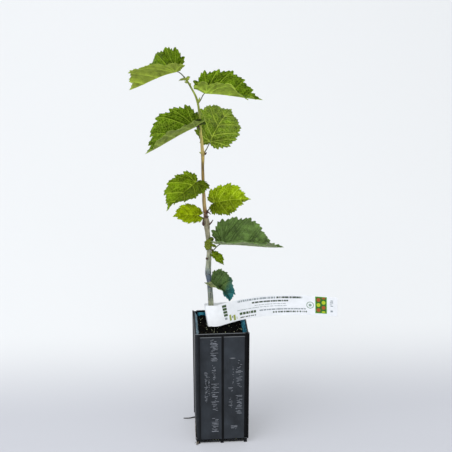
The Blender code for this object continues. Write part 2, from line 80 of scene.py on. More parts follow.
def addNode(tree, kind, inputs, stops=(), out=0, **settings):
    # gives the output with this number or name; text among the inputs is a hex colour
    node = tree.nodes.new("ShaderNode" + kind)
    for name, value in settings.items():
        setattr(node, name, value)
    if stops:  # colour ramp: (place, hex colour) pairs
        ramp = node.color_ramp.elements
        while len(ramp) < len(stops):
            ramp.new(1.0)
        for element, (place, code) in zip(ramp, stops):
            element.position = place
            element.color = hexColour(code)
    for socket, value in inputs.items():
        if isinstance(value, bpy.types.NodeSocket):
            tree.links.new(value, node.inputs[socket])
        else:
            node.inputs[socket].default_value = hexColour(value) if isinstance(value, str) else value
    return node.outputs[out]


def startMaterial(name):
    # the material, what adds a node to it, and the place on the piece
    material = bpy.data.materials.new(name)
    material.use_nodes = True
    material.node_tree.nodes.clear()
    add = partial(addNode, material.node_tree)
    return material, add, add("TexCoord", {}, out="Object")


def finishMaterial(material, surface):
    output = material.node_tree.nodes.new("ShaderNodeOutputMaterial")
    output.is_active_output = True
    material.node_tree.links.new(surface, output.inputs["Surface"])
    return material


def perMetre(size):
    return 1.0 / (size * mm)  # texture scale for a pattern of this size in millimetres


def mottledMaterial(name, size, detail, stops, skin, relief=None):
    # soft blotches of this size, which a relief of (strength, depth in millimetres) follows
    material, add, place = startMaterial(name)
    blotches = add("TexNoise", {"Vector": place, "Scale": perMetre(size), "Detail": detail})
    skin = {"Base Color": add("ValToRGB", {"Fac": blotches}, stops), **skin}
    if relief:
        strength, depth = relief
        skin["Normal"] = add("Bump", {"Height": blotches, "Strength": strength, "Distance": depth * mm})
    return finishMaterial(material, add("BsdfPrincipled", skin))


def unit(vectors):
    return vectors / np.maximum(np.linalg.norm(vectors, axis=-1, keepdims=True), 1e-9)


def ease(t):
    return t * t * (3 - 2 * t)


def bell(distance, width):
    return np.exp(-(distance / width) ** 2)


def softNoise(points, cell, seed, octaves=2):
    # value noise from about -1 to 1 on a lattice with this cell size
    lattice = np.random.default_rng(seed).uniform(-1, 1, (32, 32, 32))
    total = np.zeros(points.shape[:-1])
    for octave in range(octaves):
        spot = points / cell * 2 ** octave + 7.3 * octave
        low = np.floor(spot).astype(int)
        part = ease(spot - low)
        for corner in np.ndindex(2, 2, 2):
            share = np.where(corner, part, 1 - part).prod(-1)
            at = np.moveaxis((low + corner) % 32, -1, 0)
            total = total + 0.5 ** octave * share * lattice[tuple(at)]
    return total


def smoothThrough(points, spans):
    # Catmull-Rom curve
    pts = np.asarray(points, float)
    pts = np.vstack([2 * pts[0] - pts[1], pts, 2 * pts[-1] - pts[-2]])
    out = []
    for before, start, end, after in zip(pts, pts[1:], pts[2:], pts[3:]):
        for t in np.arange(spans) / spans:
            out.append(0.5 * (
                2 * start + (end - before) * t
                + (2 * before - 5 * start + 4 * end - after) * t * t
                + (3 * start - before - 3 * end + after) * t ** 3))
    return np.array(out + [pts[-2]])


def interpRows(at, places, values):
    return np.stack([np.interp(at, places, column) for column in values.T], -1)


def alongPath(path, count):
    # the same path at even spacing
    travelled = np.append(0.0, np.cumsum(np.linalg.norm(np.diff(path[:, :3], axis=0), axis=1)))
    return interpRows(np.linspace(0, travelled[-1], count), travelled, path)


def makePiece(name, verts, faces, materials, kinds=None, marks=None, smooth=True, merge=0.0):
    # kinds are each face's material; marks are named numbers carried by each vertex
    mesh = bpy.data.meshes.new(name)
    mesh.from_pydata((np.asarray(verts, float) * mm).tolist(), [], faces)
    for material in materials:
        mesh.materials.append(material)
    if kinds is not None:
        mesh.polygons.foreach_set("material_index", np.asarray(kinds, dtype=np.int32))
    for mark, values in (marks or {}).items():
        layer = mesh.attributes.new(mark, "FLOAT", "POINT")
        layer.data.foreach_set("value", np.asarray(values, dtype=np.float32).ravel())
    if merge:
        bm = bmesh.new()
        bm.from_mesh(mesh)
        bmesh.ops.remove_doubles(bm, verts=bm.verts, dist=merge * mm)
        bmesh.ops.dissolve_degenerate(bm, dist=merge * mm, edges=bm.edges)
        bm.to_mesh(mesh)
        bm.free()
    if smooth:
        mesh.shade_smooth()
        mesh.set_sharp_from_angle(angle=math.radians(45))
    mesh.update()
    return addObject(name, mesh)


def addObject(name, data):
    added = bpy.data.objects.new(name, data)
    bpy.context.scene.collection.objects.link(added)
    return added


def settle(piece, slot, *replaced):
    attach(piece, "root")
    if replaced:
        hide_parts(*replaced)


def gridFaces(rows, columns, start=0, flip=False):
    low = start + np.arange(rows - 1)[:, None] * columns + np.arange(columns - 1)
    quads = np.stack([low, low + columns, low + columns + 1, low + 1], -1).reshape(-1, 4)
    return (quads[:, ::-1] if flip else quads).tolist()


def ringFaces(rings, sides):
    # skin over rings of vertices, with a cap at each end
    faces = [tuple(range(sides))[::-1]]
    for low in range(0, (rings - 1) * sides, sides):
        around = [*range(low, low + sides), low]
        faces += [(a, b, b + sides, a + sides) for a, b in zip(around, around[1:])]
    return faces + [tuple(range((rings - 1) * sides, rings * sides))]


def tubeSkin(path, radii, sides, relief=None):
    # closed tube whose rings are carried along without spin; relief adds to the radius
    path = np.asarray(path, float)
    ahead = unit(np.gradient(path, axis=0))
    side = np.cross(ahead[0], (0.0, 1.0, 0.0) if abs(ahead[0][1]) < 0.9 else (1.0, 0.0, 0.0))
    turns = np.linspace(0, 2 * math.pi, sides, endpoint=False)[:, None]
    reach = np.array(radii)[:, None] + (np.zeros((len(path), sides)) if relief is None else relief)
    rings = []
    for point, direction, ring in zip(path, ahead, reach[..., None]):
        side = unit(side - direction * np.dot(side, direction))
        rings.append(point + ring * (np.cos(turns) * side + np.sin(turns) * np.cross(direction, side)))
    return np.concatenate(rings), ringFaces(len(path), sides)


class Gather:
    # shapes joined into one piece, each with its faces' material and its vertices' marks
    def __init__(self):
        self.verts, self.faces, self.kinds, self.marks, self.count = [], [], [], [], 0

    def add(self, verts, faces, kind=0, marks=()):
        self.verts.append(np.asarray(verts, float))
        self.faces += [tuple(i + self.count for i in face) for face in faces]
        self.kinds += [kind] * len(faces)
        self.marks.append(marks)
        self.count += len(verts)

    def settle(self, name, slot, materials, *replaced, markNames=(), **more):
        marks = dict(zip(markNames, np.concatenate(self.marks, -1)))
        verts = np.concatenate(self.verts)
        settle(makePiece(name, verts, self.faces, materials, self.kinds, marks, **more), slot, *replaced)


# ---- hazel leaf: thin, softly hairy, with sunken veins above and raised ones below

leafForm = {
    # half outlines: along the midrib and out from it, as shares of length and width
    "outline": [
        (-0.09, 0.02), (-0.155, 0.09), (-0.175, 0.19), (-0.13, 0.31), (-0.01, 0.41), (0.16, 0.475),
        (0.35, 0.50),
    ],
    "pointed": [
        (0.53, 0.475), (0.67, 0.395), (0.78, 0.275), (0.86, 0.145), (0.92, 0.055), (0.965, 0.018),
        (1.0, 0.0),
    ],
    "blunt": [(0.55, 0.49), (0.70, 0.46), (0.82, 0.42), (0.92, 0.35), (0.98, 0.22), (1.0, 0.0)],
    "fullSize": 80.0,  # length of the leaf that the depths below are for
    "slant": 0.75,  # side veins run this far forward for each unit outward
    "veinBend": 1.15,  # above 1 the side veins curve towards the tip
    "smallBelow": 30.0,  # a leaf shorter than this has fewer lobes and teeth
    "lobes": (7, 5),  # one for each side vein, on a large leaf and on a small one
    "teethPerLobe": (3, 2),
    "stationsPerTooth": 12,
    "rows": 30, "leastRows": 6, "fullRowsFrom": 38.0,  # from midrib to margin, fewer on a small leaf
    "lobeHeight": 0.048,  # share of the length
    "toothHeight": 0.030,
    "lobePeak": 0.82,  # where along its pitch a lobe or a tooth is highest
    "toothPeak": 0.70,
    "toothLean": 0.30,  # how far a tooth leans forward, for its height
    "thickness": 0.30,
    "quilt": 2.2,  # rise of the blade between its side veins
    "quiltWidth": 2.2,
    "pucker": 0.85,  # small bumps between the netted veins
    "puckerSize": 3.6,
    "veinWidth": 0.62,
    "midribWidth": 0.60,
    "midribDepth": 0.75,
    "veinDepth": 0.32,
    "waver": 1.3,  # up and down of the margin
}

leaves = {
    # the height of the joint on the trunk; heading and roll at the base and their change to the tip, and
    # rise with its even droop and the curl near its tip; pairs for the left and the right half: a fold
    # is its angle at the base, at the tip, its bend outwards, and where it turns between the two
    # tones: one factor for each half, making it lighter or darker as painted light and shade for how it
    # faces the light
    "leaf_top_left": {
        "joint": None, "base": (-56, 5, 537), "length": 81, "width": 69,
        "heading": (144, 3), "rise": (-16, 27, -24), "roll": (-8, 13),
        "folds": ((41, 47, -18), (65, 37, -7)),
        "lobe": (1.35, 1.0), "drip": 0.25, "jag": 1.3,
        "upper": "#476200", "under": "#abbe4a", "vein": "#9cba34",
    },
    "leaf_top_right": {
        "joint": 497.0, "base": (-17, 3, 509), "length": 76, "width": 65,
        "heading": (5, 4), "rise": (-4, 19, -17), "roll": (3, 12),
        "folds": ((57, 25, 2), (56, 29, -31, 0.25, 0.68)),
        "lobe": (1.0, 1.2), "drip": 0.45, "jag": 1.4,
        "upper": "#425c00", "under": "#b0c84e", "vein": "#a4c236",
    },
    "leaf_upper_left": {
        "joint": 462.0, "base": (-33, -6, 467), "length": 77, "width": 69,
        "heading": (210, -2), "rise": (-14, 17, -17), "roll": (-8, 23),
        "folds": ((43, 40, -10), (57, 9, -8, 0.2, 1.0)),
        "lobe": (0.75, 0.85), "drip": 0.4, "jag": 1.3,
        "upper": "#415b00", "under": "#94a64c", "vein": "#a4c23c",
    },
    "leaf_upper_right": {
        "joint": 428.0, "base": (-12, 13.7, 441), "length": 72, "width": 61,
        "heading": (61, -3), "rise": (39, 29, -2), "roll": (16, 4),
        "folds": ((41, 9, 5), (17, -7, -29)),
        "lobe": (0.85, 0.6), "jag": 0.7, "gloss": 0.22,
        "upper": "#5a7600", "under": "#98a448", "vein": "#cfe45a",
    },
    "leaf_middle_left": {
        "joint": 384.0, "base": (-32, -3, 390), "length": 60, "width": 54,
        "heading": (223, -3), "rise": (-17, 15, 6), "roll": (1, 15),
        "folds": ((5, 17, -26), (34, 9, 2, 0.3, 1.0)),
        "lobe": (0.6, 0.8), "shares": (1.0, 0.94), "jag": 0.9,
        "tones": (0.56, 1.10), "drip": 0.3,
        "upper": "#567000", "under": "#94a040", "vein": "#b6d03c",
    },
    "leaf_middle_right": {
        "joint": 347.0, "base": (-7, 2, 359), "length": 54, "width": 44,
        "heading": (-26, 1), "rise": (22, 21, -7), "roll": (25, 5),
        "folds": ((42, 7, 1), (7, 1, -46)),
        "lobe": (1.0, 0.7), "tones": (1.30, 0.66), "drip": 0.45,
        "upper": "#748c00", "under": "#9aac3c", "vein": "#c2da40",
    },
    "leaf_small_left": {
        "joint": 335.0, "base": (-30, 3, 341), "length": 35, "width": 30,
        "heading": (191, -10), "rise": (18, 35, -1), "roll": (-25, -8),
        "folds": ((12, 16, -29), (23, 15, 0)),
        "tones": (0.9, 1.1), "drip": 0.2,
        "upper": "#8ca200", "under": "#a2b03c", "vein": "#c8de2c",
    },
    "leaf_lower_right": {
        "joint": 288.0, "base": (3, 1, 299), "length": 92, "width": 78,
        "heading": (9, 7), "rise": (-6, 17, -19), "roll": (4, -4),
        "folds": ((49, 36, 2), (36, 31, -17)),
        "lobe": (0.7, 1.0), "drip": 0.6, "gloss": 0.18,
        "upper": "#627f3d", "under": "#98a67c", "vein": "#7a9656",
    },
    "leaf_young_front": {
        "joint": 296.0, "base": (-15, -6, 296), "length": 19, "width": 14,
        "heading": (300, 0), "rise": (82, 20, 6), "roll": (0, 0),
        "folds": ((25, 20, 0), (25, 20, 0)),
        "upper": "#465902", "under": "#78852f", "vein": "#7c9026",
    },
    "leaf_small_hanging": {
        "joint": 283.0, "base": (-10, -5, 286), "length": 21, "width": 15,
        "heading": (-20, 0), "rise": (-30, 25, 0), "roll": (20, 10),
        "folds": ((25, 20, 0), (20, 15, 0)),
        "drip": 0.35,
        "upper": "#526a00", "under": "#929f3c", "vein": "#98b02c",
    },
    "leaf_bottom_right": {
        "joint": 236.0, "base": (-12, -11, 240), "length": 53, "width": 51,
        "heading": (-62, -7), "rise": (23, 33, 25), "roll": (4, 2),
        "folds": ((61, 64, 7), (40, 52, 0)),
        "lobe": (0.5, 0.3), "shares": (1.0, 0.6), "blunt": True, "jag": 0.5,
        "upper": "#496334", "under": "#a0aa74", "vein": "#7a9656",
        "blueTip": 0.8,
    },
}

# very small leaves in the clusters at the nodes and at the top:
# base, length, width, heading, rise, roll, kind (2 is painted shade: a darker copy of the leaflet colour)
leaflets = [
    ((-15.4, -5.5, 300.5), 7.5, 6.0, 188, 4, 50, 0),
    ((-12.6, -4.0, 299.5), 8.5, 5.0, -14, -6, 40, 0),
    ((-14.8, -6.0, 309.0), 6.5, 5.0, 10, 20, 60, 2),
    ((-13.6, -6.6, 306.0), 7.0, 4.5, 30, 40, 30, 2),
    ((-16.6, -6.8, 303.0), 6.5, 4.5, 150, 30, -30, 0),
    ((-43.2, 2.4, 526.6), 9.5, 5.0, 182, 6, 55, 0),
    ((-41.0, 2.0, 526.0), 5.0, 3.5, 235, -30, 20, 0),
    ((-41.6, 3.0, 528.0), 5.5, 4.0, 20, 35, 30, 0),
    ((-31.5, -3.5, 472.0), 15.0, 9.0, 4, 1, 52, 2),
]

leafMarks = ("vein", "tone", "blue")


def leafFace(name, blade, vein, rough, netting, ribbing, gloss):
    # soft living leaf: dull waxy gloss, paler veins, fine netting of small veins; a leaf with a blue tip
    # mark is tinted blue-green towards its tip
    material, add, place = startMaterial(name)
    ribs, toneAndPaintedShade, blueTint = [add("Attribute", {}, out="Fac", attribute_name=mark) for mark in leafMarks]
    # the real net of small veins is about 1 mm across; drawn coarser, so that it shows
    cells = add("TexVoronoi", {"Vector": place, "Scale": perMetre(3.1)}, feature="DISTANCE_TO_EDGE")
    net = add("MapRange", {"Value": cells, "From Max": 0.2, "To Min": 1.0, "To Max": 0.0})
    clouds = add("TexNoise", {"Vector": place, "Scale": perMetre(9), "Detail": 3.0})
    colour = add("ValToRGB", {"Fac": clouds}, [
        (0.3, shade(blade, 0.76)), (0.5, blade), (0.72, shade(blade, 1.12))])
    netted, ribbed = [add("Math", {0: lines, 1: share}, operation="MULTIPLY")
                      for lines, share in ((net, netting), (ribs, ribbing))]
    # the tone mark multiplies in the leaf's own uneven tone together with painted shade in vein valleys, in
    # folds and on shaded halves
    for amount, over, blend in ((netted, vein, "MIX"), (ribbed, vein, "MIX"),
                                (1.0, toneAndPaintedShade, "MULTIPLY"), (blueTint, "#26707a", "MIX")):
        colour = add("Mix", {"Factor": amount, 6: colour, 7: over}, blend_type=blend, **colourMix)
    grain = add("TexNoise", {"Vector": place, "Scale": perMetre(0.8), "Detail": 2.0})
    height = add("Math", {0: grain, 1: 0.5, 2: net}, operation="MULTIPLY_ADD")
    relief = add("Bump", {"Height": height, "Strength": 0.9, "Distance": 0.5 * mm}, invert=True)
    skin = add("BsdfPrincipled", {"Base Color": colour, "Roughness": rough, "IOR": 1.42,
                                  "Specular IOR Level": gloss, "Normal": relief})
    through = add("BsdfTranslucent", {"Color": colour})
    return finishMaterial(material, add("MixShader", {0: 0.12, 1: skin, 2: through}))


def midrib(leaf, steps=80):
    # share of the length, and there the point, the ways ahead and to the left, and the blade's normal
    share = np.linspace(0.0, 1.0, steps + 1)
    (heading, swing), (rise, droop, curl), (roll, twist) = leaf["heading"], leaf["rise"], leaf["roll"]
    rise = np.radians(rise - droop * share - curl * share ** 3)
    heading = np.radians(heading + swing * share)
    roll = np.radians(roll + twist * share)[:, None]
    ahead = np.stack([np.cos(rise) * np.cos(heading), np.cos(rise) * np.sin(heading), np.sin(rise)], 1)
    level = np.stack([-np.sin(heading), np.cos(heading), 0 * heading], 1)
    left = level * np.cos(roll) + np.cross(ahead, level) * np.sin(roll)
    step = (ahead[1:] + ahead[:-1]) / 2 * leaf["length"] / steps
    points = np.vstack([[0.0, 0.0, 0.0], np.cumsum(step, axis=0)])
    return share, points, ahead, left, np.cross(ahead, left)


def sawTooth(turn, peak):
    part = turn - np.floor(turn)
    return np.where(part < peak, (part / peak) ** 1.3, (1 - part) / (1 - peak))


def leafMargin(leaf, side, rng):
    # along and out for each station of the toothed margin, where the side veins end, the lobes' pitch
    form, length = leafForm, leaf["length"]
    lobes, teeth = [form[part][length < form["smallBelow"]] for part in ("lobes", "teethPerLobe")]
    perTooth = form["stationsPerTooth"]
    perLobe = perTooth * teeth
    outline = np.array(form["outline"] + form["blunt" if leaf.get("blunt") else "pointed"])
    # how far the base reaches back on each side
    outline[:, 0] *= np.where(outline[:, 0] < 0, leaf.get("lobe", (1.0, 1.0))[side], 1.0)
    # a drawn-out tip
    outline[:, 1] *= 1 - leaf.get("drip", 0.0) * ease(np.clip((outline[:, 0] - 0.55) / 0.33, 0, 1))
    width = leaf["width"] * leaf.get("shares", (1.0, 1.0))[side]
    index = np.arange(lobes * perLobe + 1)
    edge = alongPath(smoothThrough(outline, 24) * (length, width), len(index))
    forward = unit(np.gradient(edge, axis=0))
    outward = forward[:, ::-1] * (-1, 1)
    toothHeight, lobeHeight = form["toothHeight"], form["lobeHeight"] * leaf.get("jag", 1.0)
    rise = -0.35 * (lobeHeight + toothHeight) * np.ones(len(index))
    for height, count, pitch, peak, most in (
            (toothHeight, lobes * teeth, perTooth, form["toothPeak"], 1.25),
            (lobeHeight, lobes, perLobe, form["lobePeak"], 1.3)):
        sizes = np.append(np.repeat(rng.uniform(0.7, most, count), pitch), 0)
        rise += height * sizes * sawTooth(index / pitch, peak)
    share = index / index[-1]
    rise *= length * np.clip(share / 0.05, 0, 1) * np.clip((1 - share) / 0.10, 0, 1)
    edge = edge + (outward + forward * form["toothLean"]) * rise[:, None]
    edge[-1] = (length, 0.0)
    edge[:, 1] = np.maximum(edge[:, 1], 0.0)
    return edge, (np.arange(lobes) + form["lobePeak"]) * perLobe, perLobe


def leafHalf(leaf, side, rng):
    # the upper and the under face of one half, and their marks
    form, length, width = leafForm, leaf["length"], leaf["width"]
    size, sign = length / form["fullSize"], 1 - 2 * side
    edge, ends, perLobe = leafMargin(leaf, side, rng)
    along, out = edge.T
    start = np.maximum.accumulate(np.clip(along - form["slant"] * out, 0.0, length))
    start[-1] = length
    rows = max(form["leastRows"], round(form["rows"] * min(1.0, length / form["fullRowsFrom"])))
    reach = np.linspace(0.0, 1.0, rows + 1) ** 1.45
    x = start[:, None] + (along - start)[:, None] * reach ** form["veinBend"]
    y = out[:, None] * reach
    # distance across to the nearest side vein, from the spacing of the station lines
    (alongX, acrossX), (alongY, acrossY) = np.gradient(x), np.gradient(y)
    stations = np.arange(len(edge))
    steps = np.abs(stations[:, None] - ends).min(axis=1)[:, None]
    toVein = steps * np.abs(alongX * acrossY - alongY * acrossX) / np.hypot(acrossX, acrossY).clip(1e-9)
    veinFade = 1 - 0.55 * reach  # side veins thin out towards the margin
    sideVein = bell(toVein, form["veinWidth"] * (0.6 + 0.5 * size)) * veinFade
    taper = np.clip(1.05 - x / length, 0.12, 1.0)
    rib = bell(y, form["midribWidth"] * (0.35 + 0.85 * taper))

    at = np.clip(x / length, 0.0, 1.0)
    (foldBase, foldTip, bend), turning = np.radians(leaf["folds"][side][:3]), leaf["folds"][side][3:]
    bendRate = bend / (width / 2)
    folded = ease(np.clip((at - turning[0]) / (turning[1] - turning[0]), 0, 1)) if turning else at
    fold = foldBase + (foldTip - foldBase) * folded
    arcRate = bendRate or 1e-5  # a straight half is worked out as a very slight arc
    across = (np.sin(fold + arcRate * y) - np.sin(fold)) / arcRate
    up = (np.cos(fold) - np.cos(fold + arcRate * y)) / arcRate
    angle = (fold + bendRate * y)[..., None]
    share, *line = midrib(leaf)
    points, ahead, left, above = [interpRows(at, share, values) for values in line]
    left = left * sign
    facing = above * np.cos(angle) - left * np.sin(angle)
    clear = 1 - bell(y, 2.6 * size + 0.6)  # nothing moves on the midrib, where the halves meet
    hump = 1 - np.exp(-(toVein / (form["quiltWidth"] * size + 0.3)) ** 1.4)
    early, late = rng.uniform(0, 6.28, 2)
    wave = np.sin(2.3 * 6.28 * x / length + early) + 0.6 * np.sin(4.7 * 6.28 * x / length + late)
    spots = np.stack([x, y * sign, 0 * x], -1)
    lift = form["quilt"] * size * hump * clear * (1 - 0.5 * reach ** 3)
    lift += form["waver"] * size * wave * reach ** 2 * np.clip((1 - at) / 0.15, 0, 1)
    lift += 0.45 * size * softNoise(spots, 6.0, 11) * clear
    lift += form["pucker"] * (0.4 + 0.6 * size) * softNoise(spots, form["puckerSize"], 12, 1) * clear * hump
    upper = points + facing * lift[..., None]
    for way, far in ((ahead, np.minimum(x, 0.0)), (left, across), (above, up)):
        upper = upper + way * far[..., None]
    nearRib = bell(y, 0.9)[..., None]
    down = unit(facing * (1 - nearRib) + above * nearRib)
    depth = form["thickness"] * (0.55 + 0.45 * size)
    depth = depth + size * (form["veinDepth"] * sideVein + form["midribDepth"] * rib * taper)
    under = upper - down * depth[..., None]

    # each field between side veins has a tone of its own
    fields = rng.uniform(-1, 1, len(ends) + 2)[:-1]
    field = np.interp(stations, (np.arange(len(fields)) + 0.32) * perLobe, fields)[:, None]
    # painted light and shade: the tones pair lightens one half and darkens the other for how each faces the
    # light
    tone = leaf.get("tones", (1.0, 1.0))[side] * (1 + 0.10 * field) * (1 + 0.26 * softNoise(spots, 4.5, 13))
    # painted shade: darker along both sides of each vein, where the blade dips to it
    paintedValleyShade = bell(toVein, 1.6 * size + 0.6) * (1 - sideVein) * (1 - rib)
    tone = tone * (1 - 0.42 * paintedValleyShade * (1 - 0.4 * reach))
    # painted shade: the inside of the fold, which gets less light, is painted a deeper green
    tone = tone * (1 - 0.30 * np.clip(fold, 0, 1) * bell(y, 0.17 * width))
    # below, the blade is paler in a broad band along each raised vein
    paler = 0.90 + 0.26 * bell(toVein, 2.0 * size + 0.4) * veinFade
    vein = np.maximum(sideVein, rib * (0.5 + 0.5 * taper))
    blue = leaf.get("blueTip", 0.0) * np.clip((at - 0.62) / 0.3, 0, 1)
    return np.stack([upper, under]) + leaf["base"], np.stack([[vein, tone, blue], [vein, paler, 0 * blue]])


def addBlade(gather, leaf, seed, kinds=(0, 1)):
    rng = np.random.default_rng(seed)
    for side in (0, 1):
        verts, marks = leafHalf(leaf, side, rng)
        stations, rows = verts.shape[1:3]
        size = stations * rows
        verts, marks = verts.reshape(2, size, 3), marks.reshape(2, 3, size)
        gather.add(verts[0], gridFaces(stations, rows, flip=side), kinds[0], marks[0])
        # the rim joins the upper face to the under one along the margin and across the base
        rim = [(a - size, a, b, b - size) for run in (range(rows - 1, size, rows), range(rows)[::-1])
               for a, b in zip(run, run[1:])]
        faces = gridFaces(stations, rows, flip=not side) + [quad[::1 - 2 * side] for quad in rim]
        gather.add(verts[1], faces, kinds[1], marks[1])


stalkForm = {
    "radii": (0.75, 0.50),  # at the twig and at the blade
    "sides": 14,
    "rings": 40,
    "lift": 0.6,  # how steeply it leaves the twig
    "sunk": 0.5,  # how deep its foot sits in the bark
    "underBlade": 0.05,  # where it ends under the midrib, as a share of the length
    "hairLength": (0.5, 1.2),
    "hairWidth": 0.07,
    "hairsPerMillimetre": 7,
}


def leafStalk(leaf):
    # path and radii
    form = stalkForm
    share, points, ahead, _, _ = midrib(leaf)
    base = np.array(leaf["base"], float)
    if leaf["joint"] is None:  # it carries the trunk's tip on
        leave = unit(trunkLine[-1, :3] - trunkLine[-2, :3])
        start = trunkLine[-1, :3] - leave * 0.4
    else:
        at, radius = trunkAt(leaf["joint"])
        outward = unit((base - at) * (1, 1, 0))
        start = at + outward * (radius - form["sunk"])
        leave = unit(outward + (0.0, 0.0, form["lift"]))
    reach = np.linalg.norm(base - start) * 0.35
    t = np.linspace(0, 1, 12)[:, None]
    path = (1 - t) ** 3 * start + 3 * t * (1 - t) ** 2 * (start + leave * reach)
    path = path + 3 * t * t * (1 - t) * (base - ahead[0] * reach) + t ** 3 * base
    end = base + interpRows(form["underBlade"], share, points)
    path = alongPath(smoothThrough([*path, end], 4), form["rings"])
    along = np.linspace(0, 1, len(path))
    thick = form["radii"][0] + (form["radii"][1] - form["radii"][0]) * along
    size = leaf["length"] / leafForm["fullSize"]
    thick = thick * (0.55 + 0.45 * size) * (1 + 0.55 * bell(along, 0.09))  # swollen foot
    thick[-3:] *= (0.8, 0.55, 0.2)
    return path, thick


def addHairs(hairs, path, thick, rng):
    form = stalkForm
    length = np.linalg.norm(np.diff(path, axis=0), axis=1).sum()
    for _ in range(int(length * form["hairsPerMillimetre"])):
        spot = rng.uniform(0.02, 0.93) * (len(path) - 1)
        k = int(spot)
        ahead = unit(path[k + 1] - path[k])
        side = unit(np.cross(ahead, [rng.gauss(0, 1) for _ in range(3)]))
        tip = unit(side + ahead * rng.uniform(-0.2, 0.6)) * rng.uniform(*form["hairLength"])
        across = unit(np.cross(tip, ahead)) * form["hairWidth"] / 2
        lean = unit(np.cross(tip, across)) * form["hairWidth"] / 2
        root = path[k] + (path[k + 1] - path[k]) * (spot - k) + side * thick[k] * 0.9
        verts = [root + across, root - across * 0.5 + lean, root - across * 0.5 - lean, root + tip]
        hairs.add(verts, [(0, 2, 1), (0, 1, 3), (1, 2, 3), (2, 0, 3)])


def makeLeaves():
    # leaf stalk: green with reddish-brown blotches, dull
    stalkSkin = mottledMaterial(
        "leafStalkSkin", 3, 2.0, [(0.35, "#38421c"), (0.6, "#525c30"), (0.75, "#4c402c")],
        {"Roughness": 0.55, "IOR": 1.42})
    hairs = Gather()
    rng = random.Random(4)
    for seed, (name, leaf) in enumerate(leaves.items()):
        gather = Gather()
        addBlade(gather, leaf, seed + 20)
        path, thick = leafStalk(leaf)
        verts, faces = tubeSkin(path, thick, stalkForm["sides"])
        gather.add(verts, faces, 2, np.ones((3, len(verts))))
        short, under, gloss = name.removeprefix("leaf_"), leaf["under"], leaf.get("gloss", 0.05)
        skins = [leafFace("leafUpper_" + short, leaf["upper"], leaf["vein"], 0.42, 0.32, 0.86, gloss),
                 leafFace("leafUnder_" + short, under, shade(under, 1.25), 0.62, 0.2, 0.7, 0.1), stalkSkin]
        gather.settle("visual_" + name, "leaf", skins, name, markNames=leafMarks, merge=0.002)
        addHairs(hairs, path, thick, rng)
    hairs.settle("stalkHairs", "leaf", [stalkSkin], smooth=False)
    gather = Gather()
    for seed, (base, length, width, heading, rise, roll, kind) in enumerate(leaflets):
        leaf = {"base": base, "length": length, "width": width, "heading": (heading, 8),
                "rise": (rise, 25, 0), "roll": (roll, -10), "folds": ((28, 20, 0), (28, 20, 0))}
        addBlade(gather, leaf, seed + 60, (kind, kind or 1))
    # leafletShaded is painted shade: a darker copy of the leaflet colour for leaflets lying in shadow
    skins = [leafFace("leafletUpper", "#6e8410", "#a4b83c", 0.45, 0.3, 0.8, 0.15),
             leafFace("leafletUnder", "#8a9840", "#b0bc5c", 0.6, 0.3, 0.8, 0.15),
             leafFace("leafletShaded", "#2c3c10", "#4c5c24", 0.5, 0.3, 0.8, 0.1)]
    gather.settle("youngLeaflets", "leaf", skins, markNames=leafMarks, merge=0.002)
    print("leaves done")


# ---- trunk

trunkForm = {
    # height, x, y and radius, from the soil to the tip
    "line": [
        (172.3, -12.8, 0.9, 5.2), (180.0, -12.8, 0.9, 4.5), (206.0, -13.1, 0.9, 3.75),
        (230.0, -14.1, 1.0, 3.8), (245.0, -15.3, 1.1, 3.6), (257.0, -16.5, 1.2, 4.0),
        (275.0, -15.6, 1.1, 3.6), (291.0, -14.7, 1.1, 3.6), (301.0, -15.4, 1.1, 3.4),
        (317.0, -17.0, 1.2, 3.4), (331.0, -18.4, 1.3, 4.1), (341.0, -19.3, 1.4, 2.9),
        (363.0, -21.4, 1.5, 2.4), (406.0, -22.6, 1.6, 2.0), (427.0, -22.4, 1.6, 2.4),
        (454.0, -24.4, 1.7, 1.8), (487.0, -26.7, 1.9, 1.5), (500.0, -29.0, 2.0, 1.4),
        (507.0, -31.5, 2.2, 1.3), (516.0, -36.2, 2.5, 1.2), (523.0, -40.0, 2.8, 1.2),
        (529.5, -44.6, 3.1, 0.9),
    ],
    "rings": 760,
    "sides": 56,
    "scarRings": [(256.0, 3.0, 0.30), (331.0, 6.0, 0.38), (427.0, 2.0, 0.2), (236.0, 1.5, 0.18)],
    "scarPitch": 1.5,
    "lenticels": 260,
    "oldBarkTop": 345.0,  # below this the bark has pores and blotches
    "tones": [  # height and colour
        (172.0, "#2e2c24"), (179.0, "#7c7e66"), (190.0, "#8c8f72"), (212.0, "#8a9078"), (232.0, "#6c7a78"),
        (245.0, "#66748a"), (256.0, "#72828e"), (266.0, "#969f8c"), (285.0, "#a2a48c"), (324.0, "#aca68c"),
        (338.0, "#a0967e"), (342.0, "#6a4a3a"), (346.0, "#8c6840"), (354.0, "#a89060"), (366.0, "#b49c6a"),
        (392.0, "#967c48"), (408.0, "#80683a"), (426.0, "#b09a58"), (438.0, "#d4bf78"), (472.0, "#94a040"),
        (552.0, "#76843a"),
    ],
}

barkMarks = ("lenticel", "scar", "mottle")
trunkLine = smoothThrough([(x, y, z, radius) for z, x, y, radius in trunkForm["line"]], 12)


def trunkAt(height):
    *at, radius = interpRows(height, trunkLine[:, 2], trunkLine)
    return np.array(at), radius


